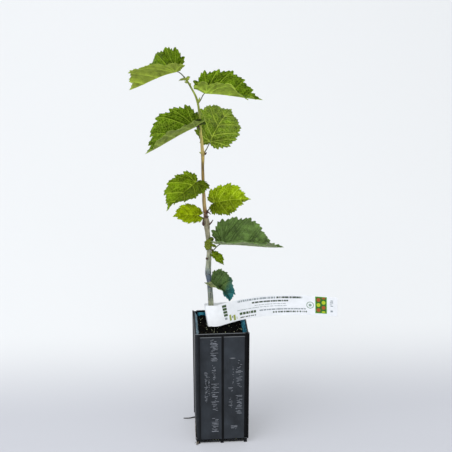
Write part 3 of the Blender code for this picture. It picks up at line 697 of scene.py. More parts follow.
def barkMaterial():
    # smooth young hazel bark: grey and waxy below, brown and faintly shiny higher, green at the tip
    material, add, place = startMaterial("hazelBark")
    ripple = add("TexNoise", {"Vector": place, "Scale": perMetre(14), "Detail": 3.0})
    upward = add("SeparateXYZ", {"Vector": place}, out="Z")
    uneven = add("Math", {0: ripple, 1: 16 * mm, 2: upward}, operation="MULTIPLY_ADD")
    low, high = trunkForm["tones"][0][0], trunkForm["tones"][-1][0]
    shift = 8.0  # the middle of what the ripple adds
    height = add("MapRange", {
        "Value": uneven, "From Min": (low + shift) * mm, "From Max": (high + shift) * mm})
    colour = add("ValToRGB", {"Fac": height}, [
        ((z - low) / (high - low), code) for z, code in trunkForm["tones"]])
    stretch = add("Mapping", {"Vector": place, "Scale": (1.0, 1.0, 0.16)})
    streak = add("TexNoise", {"Vector": stretch, "Scale": perMetre(2.1), "Detail": 4.0, "Roughness": 0.6})
    dark = add("MapRange", {
        "Value": streak, "From Min": 0.36, "From Max": 0.66, "To Min": 0.55, "To Max": 1.3})
    pores, seams, flakes = [add("Attribute", {}, out="Fac", attribute_name=mark) for mark in barkMarks]
    for amount, over, blend in ((1.0, dark, "MULTIPLY"), (1.0, flakes, "MULTIPLY"),
                                (pores, "#b9ab8c", "MIX"), (seams, "#40332d", "MIX")):
        colour = add("Mix", {"Factor": amount, 6: colour, 7: over}, blend_type=blend, **colourMix)
    relief = add("Bump", {"Height": streak, "Strength": 0.5, "Distance": 0.15 * mm})
    return finishMaterial(material, add("BsdfPrincipled", {
        "Base Color": colour, "Roughness": 0.5, "IOR": 1.45, "Specular IOR Level": 0.3, "Normal": relief}))


def makeTrunk():
    form, sides = trunkForm, trunkForm["sides"]
    line = alongPath(trunkLine, form["rings"])
    path, radii, z = line[:, :3], line[:, 3], line[:, 2:3]
    turns = np.linspace(0, 2 * math.pi, sides, endpoint=False)
    spots = np.stack([np.cos(turns) * radii[:, None], np.sin(turns) * radii[:, None], z + 0 * turns], -1)
    thick = radii[:, None] / 4.0
    relief = 0.16 * thick * softNoise(spots * (1, 1, 0.12), 1.3, 5, 3)  # long fine ridges
    relief += 0.20 * thick * softNoise(spots * (1, 1, 0.5), 5.0, 6)
    # the foot flares in uneven ridges
    relief += bell(z - z[0], 7.0) * 0.7 * (np.sin(3 * turns + 0.7) + 0.5 * np.sin(5 * turns + 2))
    scar, pores = np.zeros_like(relief), np.zeros_like(relief)
    wander = 0.5 * np.sin(turns + 1) + 0.4 * softNoise(spots, 1.5, 8, 1)
    for centre, spread, depth in form["scarRings"]:
        # ring scars of fallen bud scales: a few close folds round the stem
        near = bell(z - centre, spread)
        folds = np.sin((z - centre + wander) * 2 * math.pi / form["scarPitch"])
        relief += depth * near * folds * thick ** 0.5
        scar = np.maximum(scar, near * np.clip(-folds, 0, 1) * 0.85)
    rng = np.random.default_rng(3)
    for _ in range(form["lenticels"]):
        height, turn = rng.uniform(176, form["oldBarkTop"]), rng.uniform(0, 2 * math.pi)
        tall, wide = rng.uniform(0.35, 0.8), rng.uniform(0.25, 0.45)
        rows = np.abs(z[:, 0] - height) < 2.5
        gap = ((turns - turn + math.pi) % (2 * math.pi) - math.pi) * radii[rows, None]
        pores[rows] = np.maximum(pores[rows], bell(np.hypot(gap / wide, (z[rows] - height) / tall), 1))
    relief += 0.16 * pores
    # older bark is blotched, the young shoot above it hardly
    old = np.clip((form["oldBarkTop"] - z) / 20, 0.25, 1.0)
    mottle = 1 + old * (0.30 * softNoise(spots * (1, 1, 0.6), 2.4, 9) - 0.06)
    verts, faces = tubeSkin(path, radii, sides, relief)
    verts[:sides, 2] = path[0, 2]  # one flat cut, level on the soil
    marks = dict(zip(barkMarks, (pores, scar, mottle)))
    settle(makePiece("visualTrunk", verts, faces, [barkMaterial()], marks=marks), "bark", "trunk")
    print("trunk done")


# ---- buds and dried bud scales

budForm = {
    # height on the trunk, turn round it, lean from upright, length, radius, kind
    "buds": [
        (523.0, 215, 70, 5.5, 1.4, 1), (526.0, -20, 40, 5.0, 1.4, 1), (521.0, -60, 70, 4.0, 1.2, 1),
        (496.0, 25, 12, 8.0, 1.5, 1), (473.0, 180, 35, 4.6, 1.1, 1), (463.5, 190, 30, 4.8, 1.4, 0),
        (426.5, 10, 42, 4.8, 1.4, 0), (428.5, 180, 42, 3.4, 0.9, 1), (386.0, 150, 30, 3.8, 1.2, 1),
        (345.5, 10, 25, 4.2, 1.3, 0), (338.5, -60, 30, 3.4, 1.2, 0), (326.5, 195, 24, 6.5, 1.7, 0),
        (336.0, 200, 35, 4.0, 1.2, 0), (290.0, -30, 35, 3.6, 1.3, 0), (277.5, 225, 35, 4.2, 1.6, 0),
        (239.0, -80, 30, 4.0, 1.4, 0),
    ],
    "sunk": 0.25,  # how deep a bud sits in the bark
    # dried bud scales and a dead spur round the main node: three points each and the radius at the foot
    "scales": [
        [(-19.2, 0.6, 345.6), (-16.8, 0.2, 348.7), (-14.9, 0.0, 350.9), 0.85],
        [(-19.0, -0.4, 344.6), (-15.4, -0.9, 346.2), (-12.6, -0.6, 343.4), 1.15],
        [(-19.6, -1.6, 341.8), (-17.4, -2.6, 339.4), (-15.3, -2.2, 341.9), 1.1],
        [(-15.6, 0.4, 327.4), (-12.4, -0.6, 331.0), (-9.5, -0.8, 335.4), 1.35],
        [(-20.6, -0.6, 329.0), (-22.9, -1.4, 332.2), (-22.6, -1.0, 337.0), 1.3],
    ],
}


def budShape(length, radius, rings=26, sides=20):
    # pointed egg with overlapping scales as steps in its surface
    along = np.arange(rings + 1)[:, None] / rings
    turn = 2 * math.pi * np.arange(sides) / sides
    scale = (along * 4 + np.where(np.sin(2 * turn) > 0, 0.5, 0.0)) % 1.0
    reach = radius * np.sin(math.pi * np.minimum(along, 0.999) ** 0.75) ** 0.8 * (0.9 + 0.14 * scale)
    verts = np.stack([reach * np.cos(turn), reach * np.sin(turn), length * along + 0 * reach], -1)
    return verts.reshape(-1, 3), ringFaces(rings + 1, sides)


def makeBuds():
    gather = Gather()
    for height, turn, lean, length, bulge, kind in budForm["buds"]:
        at, radius = trunkAt(height)
        turn, lean = math.radians(turn), math.radians(lean)
        outward = np.array([math.cos(turn), math.sin(turn), 0.0])
        axis = outward * math.sin(lean) + (0, 0, math.cos(lean))
        side = unit(np.cross(axis, outward))
        verts, faces = budShape(length, bulge)
        verts = verts @ np.array([np.cross(side, axis), side, axis])
        gather.add(at + outward * (radius - budForm["sunk"]) + verts, faces, kind)
    for foot, middle, tip, radius in budForm["scales"]:
        path = smoothThrough([foot, middle, tip], 10)
        gather.add(*tubeSkin(path, np.linspace(1.0, 0.08, len(path)) ** 0.42 * radius, 12))
    # bud scales: dry and smooth, in dark and light blotches
    skins = [mottledMaterial(name, 1.2, 2.0, [(0.3, dark), (0.7, light)], {"Roughness": 0.42, "IOR": 1.45})
             for name, dark, light in (("budScaleDark", "#2c1b18", "#5a3a30"),
                                       ("budScaleGreen", "#7d8a30", "#aab652"))]
    gather.settle("buds", "bark", skins)
    print("buds done")


# ---- pot: two moulded halves that clip together at the corners

potForm = {
    "height": 180.0, "wallBottom": 7.0, "wallPlane": 36.6, "wall": 1.6, "corner": 1.2,
    "panelProud": 0.9, "panelFrom": 1.3, "panelTo": 31.0, "panelRight": 32.1, "panelTopMargin": 4.6,
    "grooveAt": 1.0, "draft": 0.6, "seam": 32.6,
    "flange": 38.4, "flangeStart": 33.4, "flangeEnd": 37.4, "flangeWall": 2.0,
    "tongue": 31.0, "tongueThick": 1.0, "rimProud": 0.4, "rimDepth": 1.8, "gap": 0.3,
    "levels": 44,
    "bow": 0.35,  # the thin walls are drawn in a little at mid height
    "warp": 0.14,
    "bevel": 0.28,
    # the sloped inside above the soil: how far out it is at its foot, and its heights
    "liningReach": 31.0, "liningTop": 179.0, "liningLow": 170.8,
    "liningSkew": 2.6,  # the right side comes in this much further towards the back
    "liningSteps": 24,
    "scrape": (14.9, 141.2, 210.0, 900.0),  # place across and up, then what scales its shape per metre
    "markRise": (-0.2, 0.32), "markSlope": 0.12,  # the ribs' foot and top, out from the panel, and flanks
    "marks": [
        # left, right, low, high and pitch of each block of ribs on the front
        (-16.5, -5.5, 136.0, 171.0, 2.3), (-14.5, -8.5, 107.0, 130.0, 2.6), (-15.5, -4.5, 54.0, 100.0, 2.8),
        (-15.0, -5.0, 20.0, 43.0, 2.2), (-25.0, -20.0, 69.0, 119.0, 2.4), (-19.6, -17.2, 80.0, 112.0, 3.6),
        (19.2, 29.0, 93.0, 137.0, 3.6), (19.2, 29.0, 50.0, 80.0, 2.4), (9.0, 15.5, 86.0, 93.0, 2.4),
        (9.5, 15.0, 60.0, 76.0, 2.8), (12.5, 22.0, 22.0, 29.0, 3.0), (14.5, 17.0, 96.0, 127.0, 6.0),
    ],
}


def potPlastic(name, raised, recess):
    # recycled polypropylene, moulded and glossy: off the raised panels it is painted near black as painted
    # shade in the recesses, while the raised panels are charcoal and slightly mottled where dust and
    # rubbing have dulled it
    material, add, place = startMaterial(name)
    depth = add("SeparateXYZ", {"Vector": place}, out="Y")
    panel = add("Attribute", {}, out="Fac", attribute_name="panel")
    clouds = add("TexNoise", {"Vector": place, "Scale": perMetre(22), "Detail": 4.0})
    tone = add("ValToRGB", {"Fac": clouds}, [
        (0.3, shade(raised, 0.82)), (0.5, raised), (0.72, shade(raised, 1.2))])
    stretch = add("Mapping", {"Vector": place, "Scale": (1.0, 1.0, 0.12)})
    scuff = add("TexNoise", {"Vector": stretch, "Scale": perMetre(1.1), "Detail": 5.0, "Roughness": 0.7})
    worn = add("MapRange", {"Value": scuff, "From Min": 0.56, "From Max": 0.8, "To Max": 0.35})
    # one fresh scrape on the front
    x, z, across, upright = potForm["scrape"]
    scrapeAt = add("Mapping", {"Vector": place, "Location": (-x * mm * across, 0.0, -z * mm * upright),
                               "Scale": (across, 0.0, upright)})
    scrapeFar = add("VectorMath", {0: scrapeAt}, out="Value", operation="LENGTH")
    scrape = add("MapRange", {"Value": scrapeFar, "From Min": 0.4, "To Min": 0.55, "To Max": 0.0})
    front = add("Math", {0: depth, 1: -36 * mm}, operation="LESS_THAN")
    # painted highlight: pale on whatever faces up, mostly along the front, where the rim and the panel tops
    # catch the light
    tilt = add("SeparateXYZ", {"Vector": add("NewGeometry", {}, out="Normal")}, out="Z")
    upward = add("MapRange", {"Value": tilt, "From Min": 0.25, "From Max": 0.8, "To Max": 0.5})
    nearer = add("MapRange", {
        "Value": depth, "From Min": -35.5 * mm, "From Max": -34 * mm, "To Min": 1.0, "To Max": 0.0})
    scraped, upFacingHighlight = [add("Math", {0: one, 1: other}, operation="MULTIPLY")
                        for one, other in ((scrape, front), (upward, nearer))]
    # faces off the raised panels take the recess colour: painted shade, near black, on the pot; a pale
    # painted highlight on the mould marks
    colour = recess
    for amount, over in ((panel, tone), (worn, "#565a5e"), (scraped, "#8d9095"), (upFacingHighlight, "#7d8186")):
        colour = add("Mix", {"Factor": amount, 6: colour, 7: over}, **colourMix)
    fine = add("TexNoise", {"Vector": place, "Scale": perMetre(0.5), "Detail": 2.0})
    relief = add("Bump", {"Height": fine, "Strength": 0.25, "Distance": 0.05 * mm})
    rough = add("MapRange", {
        "Value": clouds, "From Min": 0.3, "From Max": 0.7, "To Min": 0.38, "To Max": 0.5})
    return finishMaterial(material, add("BsdfPrincipled", {
        "Base Color": colour, "Roughness": rough, "IOR": 1.49,
        "Specular IOR Level": 0.15, "Normal": relief}))


def halfOutline(panelOut, wallOut):
    # plan of one half, seen from above: the front wall, the left wall and the seam's flange and tongue
    pot = potForm
    plane, inner = pot["wallPlane"] + wallOut, pot["wallPlane"] - pot["wall"]
    near, draft, radius = pot["panelFrom"], pot["draft"], pot["corner"]

    def panels(first, middle):
        run = []
        for start, end in ((first, middle + near), (middle - near, -pot["panelTo"])):
            raised = [(a, plane + panelOut) for a in np.linspace(start - draft, end + draft, 7)]
            run += [(start, plane), *raised, (end, plane)]
        return run

    front = [(along, -out) for along, out in panels(pot["panelRight"], pot["grooveAt"])]
    left = [(-out, -along) for along, out in panels(pot["panelTo"], 0.0)]
    centre = plane - radius
    bend = [(-centre - radius * math.sin(a), -centre - radius * math.cos(a))
            for a in np.linspace(0, math.pi / 2, 6)]
    tongue, tongueOut = pot["tongue"], inner - pot["gap"]
    tongueIn = tongueOut - pot["tongueThick"]
    flange, start, end = pot["flange"], pot["flangeStart"], pot["flangeEnd"]
    flangeInner = flange - pot["flangeWall"]
    seam = [
        (-plane, start), (-flange, start + draft), (-flange, end), (-flangeInner, end),
        (-flangeInner, tongueOut), (-tongue, tongueOut), (-tongue, tongueIn), (-inner, tongueIn),
        (-inner, -inner), (pot["seam"], -inner),
    ]
    return np.array([(pot["seam"], -plane), *front, *bend, *left, *seam])[::-1]


def makePotHalf(name, turned, material, replaced):
    pot = potForm
    low, top, draft, rim = pot["wallBottom"], pot["height"], pot["draft"], pot["rimProud"]
    panelTop, rimUnder = top - pot["panelTopMargin"], top - pot["rimDepth"]
    raised = np.linspace(low + draft, panelTop - draft, pot["levels"] + 1)
    heights = np.array([low, *raised, panelTop, rimUnder, rimUnder + rim, top])
    outs = [(0.0, 0.0)] + [(pot["panelProud"], 0.0)] * len(raised) + [(0.0, 0.0)] * 2 + [(0.0, rim)] * 2
    plan = np.stack([halfOutline(panel, wall) for panel, wall in outs])
    bare = np.stack([halfOutline(0.0, wall) for _, wall in outs])
    # raised faces count as panel; the rounded corner gets half the panel's colour, fading onto the panel,
    # as painted shade where the wall turns from the light
    panel = np.clip(np.abs(plan - bare).sum(-1) / pot["panelProud"], 0, 1)
    panel = panel * (0.55 + 0.45 * np.clip((plan[..., 0] + pot["panelTo"] + 1) / 9, 0, 1))
    panel = np.where((plan < -pot["panelTo"] - 0.5).all(-1), 0.5, panel)
    x, y = np.moveaxis(-plan if turned else plan, -1, 0)
    rings = bowed(np.stack([x, y, heights[:, None] + 0 * x], -1), turned)
    piece = makePiece(name, rings.reshape(-1, 3), ringFaces(*rings.shape[:2]), [material],
                      marks={"panel": panel}, smooth=False)
    piece.data.shade_smooth()
    bevel = piece.modifiers.new("soft moulded edges", "BEVEL")
    bevel.width = pot["bevel"] * mm
    bevel.segments = 2
    bevel.limit_method = "ANGLE"
    bevel.angle_limit = math.radians(32)
    bevel.harden_normals = True
    settle(piece, "pot", replaced)


def bowed(points, turned):
    # the walls bow in and waver, more away from corners, rim and foot
    pot = potForm
    x, y, z = np.moveaxis(points, -1, 0)
    loose = np.clip((z - pot["wallBottom"]) / 40, 0, 1) * np.clip((pot["height"] - z) / 25, 0, 1)
    onSide = np.abs(x) > np.abs(y)
    along = np.abs(np.where(onSide, y, x))
    sag = pot["bow"] * (1 - np.clip(along / 34, 0, 1) ** 2)
    sag = sag + pot["warp"] * softNoise(points, 26.0, 31 + turned) * (1 - np.clip(along / 36, 0, 1) ** 4)
    sag = sag * loose
    return np.stack([x - np.sign(x) * sag * onSide, y - np.sign(y) * sag * ~onSide, z], -1)


def makePotMarks():
    # raised moulding marks on the front panels, in upright blocks of short level ribs, painted pale grey as
    # a painted highlight where their raised edges catch the light
    pot = potForm
    rng = random.Random(12)
    gather = Gather()
    face = pot["wallPlane"] + pot["panelProud"]
    for left, right, low, high, pitch in pot["marks"]:
        z = high
        while z > low:
            wide = (right - left) * rng.choice((1.0, 0.7, 0.45, 0.3, 0.2))
            start = rng.uniform(left, right - wide)
            tall = rng.uniform(0.5, 0.8)
            corners = []
            for out, inset in zip(pot["markRise"], (0.0, pot["markSlope"])):
                x0, x1, z0, z1 = start + inset, start + wide - inset, z + inset, z + tall - inset
                y = -face - out
                corners += [(x0, y, z0), (x1, y, z0), (x1, y, z1), (x0, y, z1)]
            gather.add(bowed(np.array(corners), False), ringFaces(2, 4))
            z -= pitch * rng.uniform(0.3, 1.1)
    gather.settle("potMouldMarks", "pot", [potPlastic("potRibs", "#969aa2", "#7a7e86")], smooth=False)


def makePotLining():
    # inside above the soil the walls slope in a little; their colour is a painted reflection in upright
    # runs, blue-green on the right and back and pale grey-blue on the left
    material, add, place = startMaterial("potLiningPaintedReflection")
    stretch = add("Mapping", {"Vector": place, "Scale": (1.0, 1.0, 0.12)})
    runs = add("TexNoise", {"Vector": stretch, "Scale": perMetre(4), "Detail": 3.0})
    # painted reflection: blue-green runs, and pale grey-blue ones for the left wall
    paintedTealReflection, pale = [add("ValToRGB", {"Fac": runs}, list(zip((0.32, 0.5, 0.68), codes)))
                  for codes in (("#093448", "#1c6478", "#4a94a8"), ("#4c626c", "#7c98a6", "#a4bac6"))]
    across = add("SeparateXYZ", {"Vector": place}, out="X")
    towardsLeft = add("Math", {0: across, 1: -30.8 * mm}, operation="LESS_THAN")
    colour = add("Mix", {"Factor": towardsLeft, 6: paintedTealReflection, 7: pale}, **colourMix)
    finishMaterial(material, add("BsdfPrincipled", {
        "Base Color": colour, "Roughness": 0.4, "IOR": 1.49, "Specular IOR Level": 0.2}))
    pot, steps = potForm, potForm["liningSteps"]
    wide, top, low = pot["liningReach"], pot["liningTop"], pot["liningLow"]
    deep = pot["wallPlane"] - pot["wall"] + 0.1
    sideRing = [(deep, top), (deep - 0.5, top), (wide, low), (deep, low)]
    backRing = [(deep, top - 1.6), (deep - 0.5, top - 1.6), (deep - 0.8, low), (deep, low)]
    gather = Gather()
    for kind, ring in (("left", sideRing), ("right", sideRing), ("back", backRing)):
        rings = []
        for share in np.arange(steps + 1) / steps:
            run = (deep - 0.6) * (2 * share - 1)
            inward = pot["liningSkew"] * share if kind == "right" else 0.0
            for out, z in ring:
                out -= inward if out == wide else 0.0
                rings.append({"left": (-out, run, z), "right": (out, run, z), "back": (run, out, z)}[kind])
        faces = ringFaces(steps + 1, 4)
        gather.add(rings, faces if kind == "right" else [face[::-1] for face in faces])
    gather.settle("potLining", "pot", [material], smooth=False)


def makePot():
    plastic = potPlastic("potPolypropylene", "#2c3035", "#040507")
    makePotHalf("potHalfFront", False, plastic, "pot_half_front")
    makePotHalf("potHalfBack", True, plastic, "pot_half_back")
    makePotMarks()
    makePotLining()
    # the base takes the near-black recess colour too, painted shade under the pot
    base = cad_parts["pot_base"]
    base.data.materials.clear()
    base.data.materials.append(plastic)
    print("pot done")


# ---- potting soil

soilForm = {
    "top": 172.0, "bottom": 4.3, "half": 34.5, "corner": 3.0, "cells": 66, "wallRows": 30, "topRows": 70,
    "stem": (-12.6, 0.9),  # where the trunk stands; the soil is flat round it
    "bump": 0.9,
    # how many lie on top, within which half sides, and the place and size of the bare ring at the trunk
    "crumbs": (1900, (32.2, 34.4), (-12.8, 0.9, 5.7)),
    "flecks": (70, (32, 33), (-12.6, 0.9, 7)),
    "fibres": (46, (31, 32), (0, 0, 0)),
    "crumbSizes": (0.4, 0.5, 0.6, 0.8, 1.0, 1.4), "crumbReach": 34.7, "bigCrumb": 1.2,
    "cornersFrom": 60,  # beyond this sum of x and y the crumbs sink into the corners
    "fleckSizes": (0.35, 0.75), "fibreReach": 33.5, "fibreLengths": (3, 8), "fibreRadius": 0.16,
    "baseCrumbs": 620, "baseEdge": 35.6,
    "roots": 30, "rootFace": -37.9,  # the roots lie on the flange's outer face
    "footRoots": 16,
    "thread": [(-34.5, 29.0, 2.6), (-39.0, 29.2, 1.9), (-46.0, 28.4, 1.2), (-54.5, 29.0, 1.0)],
}


def soilMaterial(name, dark, light, rough):
    # peat crumbs: matt, nearly black when damp
    return mottledMaterial(name, 1.5, 5.0, [(0.35, dark), (0.65, light)], {
        "Roughness": rough, "IOR": 1.45, "Specular IOR Level": 0.05}, (0.6, 0.4))


def soilTop(x, y):
    form = soilForm
    spots = np.stack([x, y, 0 * x], -1)
    away = np.clip((np.hypot(x - form["stem"][0], y - form["stem"][1]) - 9) / 6, 0, 1)
    rough = softNoise(spots, 9.0, 41, 3) * form["bump"] * away + 0.35 * softNoise(spots, 2.2, 42)
    return form["top"] + rough - 0.2


def within(value, limit):
    return max(-limit, min(limit, value))


def makeSoil():
    form = soilForm
    half, inside = form["half"], form["half"] - form["corner"]
    plan = [(half, inside), (inside, half), (-inside, half), (-half, inside),
            (-half, -inside), (-inside, -half), (inside, -half), (half, -inside)]
    ring = []
    for k, (start, end) in enumerate(zip(plan, plan[1:] + plan[:1])):
        shares = np.linspace(0, 1, form["cells"] if k % 2 else 4, endpoint=False)[:, None]
        ring.append(np.array(start) + (np.array(end) - start) * shares)
    ring = np.concatenate(ring)
    walls = np.linspace(form["bottom"], form["top"] - 2, form["wallRows"])
    rings = [np.insert(ring, 2, z, 1) for z in walls]
    for share in np.linspace(1, 0.01, form["topRows"]):
        x, y = (ring * share).T
        rings.append(np.stack([x, y, soilTop(x, y)], -1))
    peat, brown, pale, rootSkin = [soilMaterial(*look) for look in (
        ("pottingPeat", "#020303", "#0a0a09", 0.95), ("barkCrumb", "#0a0806", "#1c1610", 0.9),
        ("paleFleck", "#6f7450", "#c4c8a8", 0.8), ("fineRoot", "#4a4239", "#9c9484", 0.8))]
    block = makePiece("soilBlock", np.concatenate(rings), ringFaces(len(rings), len(ring)), [peat])
    settle(block, "soil", "root_ball")
    rng = random.Random(8)
    lumps = [lumpShape(rng, 2 if k < 4 else 1) for k in range(12)]
    makeCrumbs(lumps, rng, [peat, brown, pale])
    makeBaseCrumbs(lumps, rng, [peat, brown, pale])
    makeRoots(rng, [rootSkin, brown])
    print("soil done")


def lumpShape(rng, detail):
    bm = bmesh.new()
    bmesh.ops.create_icosphere(bm, subdivisions=detail, radius=1.0)
    verts = np.array([v.co for v in bm.verts])
    faces = [[v.index for v in f.verts] for f in bm.faces]
    bm.free()
    bumps = 1 + 0.28 * softNoise(verts + rng.random() * 20, 0.9, 50, 1)
    squash = [rng.uniform(*span) for span in ((0.75, 1.2), (0.75, 1.2), (0.55, 0.9))]
    return verts * bumps[:, None] * squash, faces


def openSpots(rng, count, halves, bareRing):
    for _ in range(count):
        x, y = [rng.uniform(-half, half) for half in halves]
        if math.hypot(x - bareRing[0], y - bareRing[1]) >= bareRing[2]:
            yield x, y


def makeCrumbs(lumps, rng, skins):
    form = soilForm
    gather = Gather()
    for spot in openSpots(rng, *form["crumbs"]):
        sunk = max(0, abs(spot[0]) + abs(spot[1]) - form["cornersFrom"]) / 16
        size = rng.choice(form["crumbSizes"]) * rng.uniform(0.8, 1.2)
        x, y = [within(value, form["crumbReach"] - size) for value in spot]
        verts, faces = lumps[rng.randrange(4) if size > form["bigCrumb"] else 4 + rng.randrange(8)]
        turn = rng.uniform(0, 6.28)
        spin = [[math.cos(turn), math.sin(turn), 0], [-math.sin(turn), math.cos(turn), 0], [0, 0, 1]]
        at = (x, y, float(soilTop(x, y)) + size * 0.25 - sunk)
        gather.add(verts @ spin * size + at, faces, 1 if rng.random() < 0.16 else 0)
    for x, y in openSpots(rng, *form["flecks"]):
        verts, faces = lumps[4 + rng.randrange(8)]
        at = (x, y, float(soilTop(x, y)) + 0.5)
        gather.add(verts * rng.uniform(*form["fleckSizes"]) + at, faces, 2)
    for k, (x, y) in enumerate(openSpots(rng, *form["fibres"])):
        turn, length = rng.uniform(0, 6.28), rng.uniform(*form["fibreLengths"])
        z = float(soilTop(x, y)) + 0.5
        points = []
        for s in range(7):
            at = x + math.cos(turn) * length * s / 6, y + math.sin(turn) * length * s / 6
            turn += rng.uniform(-0.3, 0.3)
            at = [within(value, form["fibreReach"]) for value in at]
            points.append((*at, z + 0.5 * math.sin(s) + 0.25 * s * rng.random()))
        gather.add(*tubeSkin(points, [form["fibreRadius"]] * 6 + [0.05], 5), 1 if k % 3 else 2)
    gather.settle("soilCrumbs", "soil", skins)


def makeBaseCrumbs(lumps, rng, skins):
    # crumbs held in the holes and on the edge of the open base
    gather = Gather()
    for k in range(soilForm["baseCrumbs"]):
        size = rng.uniform(0.35, 0.95)
        along = rng.uniform(-35.0, 35.0)
        edge = soilForm["baseEdge"] - abs(rng.gauss(0.0, 0.7))
        x, y = ((along, -edge), (along, -edge), (-edge, along), (along, edge))[k % 4]
        if abs(abs(along) - 34) < 3 or abs(along) < 3:
            continue  # the feet stand here
        z = rng.uniform(4.1, 6.6) if k % 3 else rng.uniform(1.6, 2.4)
        verts, faces = lumps[4 + rng.randrange(8)]
        kind = 2 if rng.random() < 0.07 else (1 if rng.random() < 0.4 else 0)
        gather.add(verts * size + (x, y, z), faces, kind)
    gather.settle("baseCrumbs", "soil", skins)


def makeRoots(rng, skins):
    # fine roots that have come through the seam at the foot of the left wall and lie against it
    form = soilForm
    gather = Gather()

    def addRoot(points, spans, foot, tip, sides, kind):
        path = smoothThrough(points, spans)
        gather.add(*tubeSkin(path, np.linspace(foot, tip, len(path)), sides), kind)

    for k in range(form["roots"]):
        y = rng.uniform(-36.5, -8.0) if k % 3 else rng.uniform(-37, -30)
        rise = rng.uniform(7.0, 24.0) / 9
        z, points = 6.2, [(-35.6, y, 5.6), (-36.8, y, 5.2)]
        lean = rng.uniform(-0.5, 0.5)
        for _ in range(9):
            z += rise
            y += lean * rise + rng.uniform(-0.4, 0.4)
            lean += rng.uniform(-0.35, 0.35)
            y = max(-36.0, min(30.0, y))
            points.append((form["rootFace"] - rng.uniform(0.0, 0.25), y, z))
        addRoot(points, 4, 0.24, 0.08, 6, 0 if k % 3 else 1)
    for k in range(form["footRoots"]):
        x, y = rng.uniform(-36.0, -33.0), rng.uniform(-36.5, -33.0)
        points = [(x, y, 4.5), (x - 1.0, y - 1.2, 3.2)]
        for step in range(5):
            x -= rng.uniform(-0.6, 1.1)
            y -= rng.uniform(-0.5, 1.2)
            points.append((x - 1.4, y - 1.8, max(0.2, 2.6 - 0.6 * step)))
        addRoot(points, 4, 0.26, 0.1, 6, k % 2)
    addRoot(form["thread"], 10, 1.1, 0.6, 10, 1)
    gather.settle("fineRoots", "soil", skins)


# ---- label: a printed plastic strip looped round the stem

labelForm = {
    "width": 30.0, "thick": 0.5,
    # the loop is flat, creased at its left end, and leans back, so it is lower behind the stem
    "loopCentre": (-15.8, -1.8), "loopRadius": 9.7, "loopSide": 2.6, "loopSteps": 8,
    "loopHeight": 178.8, "loopDrop": 5.8, "tailEnd": (13.0, 0.0, 177.8), "tailLean": 14.0,
    "loopTop": (-0.13, 0.24, 0.95),  # which way the strip stands all round the loop
    "loopFrom": 52.0, "loopTo": 84.0,  # along the strip, where it turns from that to its own lean
    "front": [
        (-3.5, -9.6, 177.5, 14.0), (12.0, -6.0, 179.8, 14.0), (35.0, 2.4, 181.0, 13.0),
        (70.0, 7.0, 183.0, 8.0), (115.0, 1.5, 185.8, 2.0), (166.0, -11.6, 188.3, -3.0),
    ],
    "printEnd": 244.8,  # what the printed end reads on the scale along the strip that the print uses
    "cell": 0.4,
    "endCorner": 2.4,
}

labelInks = {
    "film": "#eff2f6", "grey": "#8e979c", "dark": "#3c4a3c", "green": "#2f4a1c", "olive": "#9aa648",
    "emblem": "#8fa795", "border": "#5c9a12", "ground": "#2a6a12", "lime": "#b4c81e", "rust": "#a8521a",
    "umber": "#2c2412",
}

labelRules = [
    # greeked lines of print: start, end and middle height on the strip, line height, ink
    (102.0, 128.0, 14.3, 0.8, "grey"), (105.5, 129.0, 3.6, 1.6, "dark"),
    (104.5, 158.0, 27.0, 2.8, "grey"), (159.0, 195.5, 27.0, 2.8, "dark"),
    (124.5, 176.5, 22.0, 2.8, "dark"), (128.0, 172.0, 17.6, 1.2, "grey"),
    (128.0, 173.5, 14.4, 1.2, "grey"), (134.5, 200.0, 9.6, 2.0, "grey"), (153.0, 201.5, 5.2, 2.4, "dark"),
]

labelBlocks = [
    # plain blocks: ink, their spans along the strip and their spans up it
    ("green", [(82.4, 87.2)], [(24.0, 27.6), (19.6, 23.2), (15.2, 18.8), (10.8, 14.4)]),
    ("green", [(105.2, 109.2), (110.0, 114.0), (114.8, 118.4), (119.2, 120.8), (121.6, 125.2),
               (126.0, 129.2)], [(7.2, 10.8)]),
    ("grey", [(82.8, 86.0)], [(6.0, 9.2)]), ("olive", [(89.2, 92.0)], [(3.2, 11.6)]),
    ("olive", [(95.2, 98.4)], [(2.0, 10.0)]), ("dark", [(93.2, 94.4)], [(6.0, 9.2)]),
    ("olive", [(100.0, 100.8)], [(3.2, 6.4)]), ("grey", [(234.4, 238.8)], [(20.0, 20.8), (21.6, 22.8)]),
    ("grey", [(235.2, 238.8)], [(23.6, 24.8), (14.8, 16.0)]), ("grey", [(234.4, 237.6)], [(17.2, 18.4)]),
    ("grey", [(235.2, 238.4)], [(6.0, 8.8)]),
]

labelPanel = {
    # the small coloured panel: place on the strip, border, and two staggered columns of round spots
    "box": (213.6, 230.0, 3.2, 29.6), "border": 1.2,
    "spots": [
        (218.2, 8.4, 2.7, 3.0, "rust"), (218.2, 16.4, 2.7, 3.0, "lime"), (218.2, 24.4, 2.7, 3.0, "rust"),
        (225.4, 5.6, 2.7, 1.4, "lime"), (225.4, 12.4, 2.7, 3.0, "rust"), (225.4, 20.4, 2.7, 3.0, "lime"),
        (225.4, 27.2, 2.7, 1.4, "rust"), (221.8, 12.4, 0.7, 0.7, "umber"), (221.8, 20.4, 0.7, 0.7, "umber"),
    ],
    "ring": (206.4, 15.6, 5.4, 4.2, 2.2),  # emblem: centre, outer and inner radius, middle disc
}


def labelStations():
    label = labelForm
    cx, cy = label["loopCentre"]
    points = [(*label["tailEnd"], label["tailLean"])]
    for turn in np.linspace(0.5 * math.pi, 1.5 * math.pi, label["loopSteps"] + 1):
        drop = label["loopDrop"] * (1 + math.sin(turn)) / 2
        points.append((cx + label["loopSide"] * math.cos(turn), cy + label["loopRadius"] * math.sin(turn),
                       label["loopHeight"] - drop, label["tailLean"]))
    return smoothThrough(points + label["front"], 24)


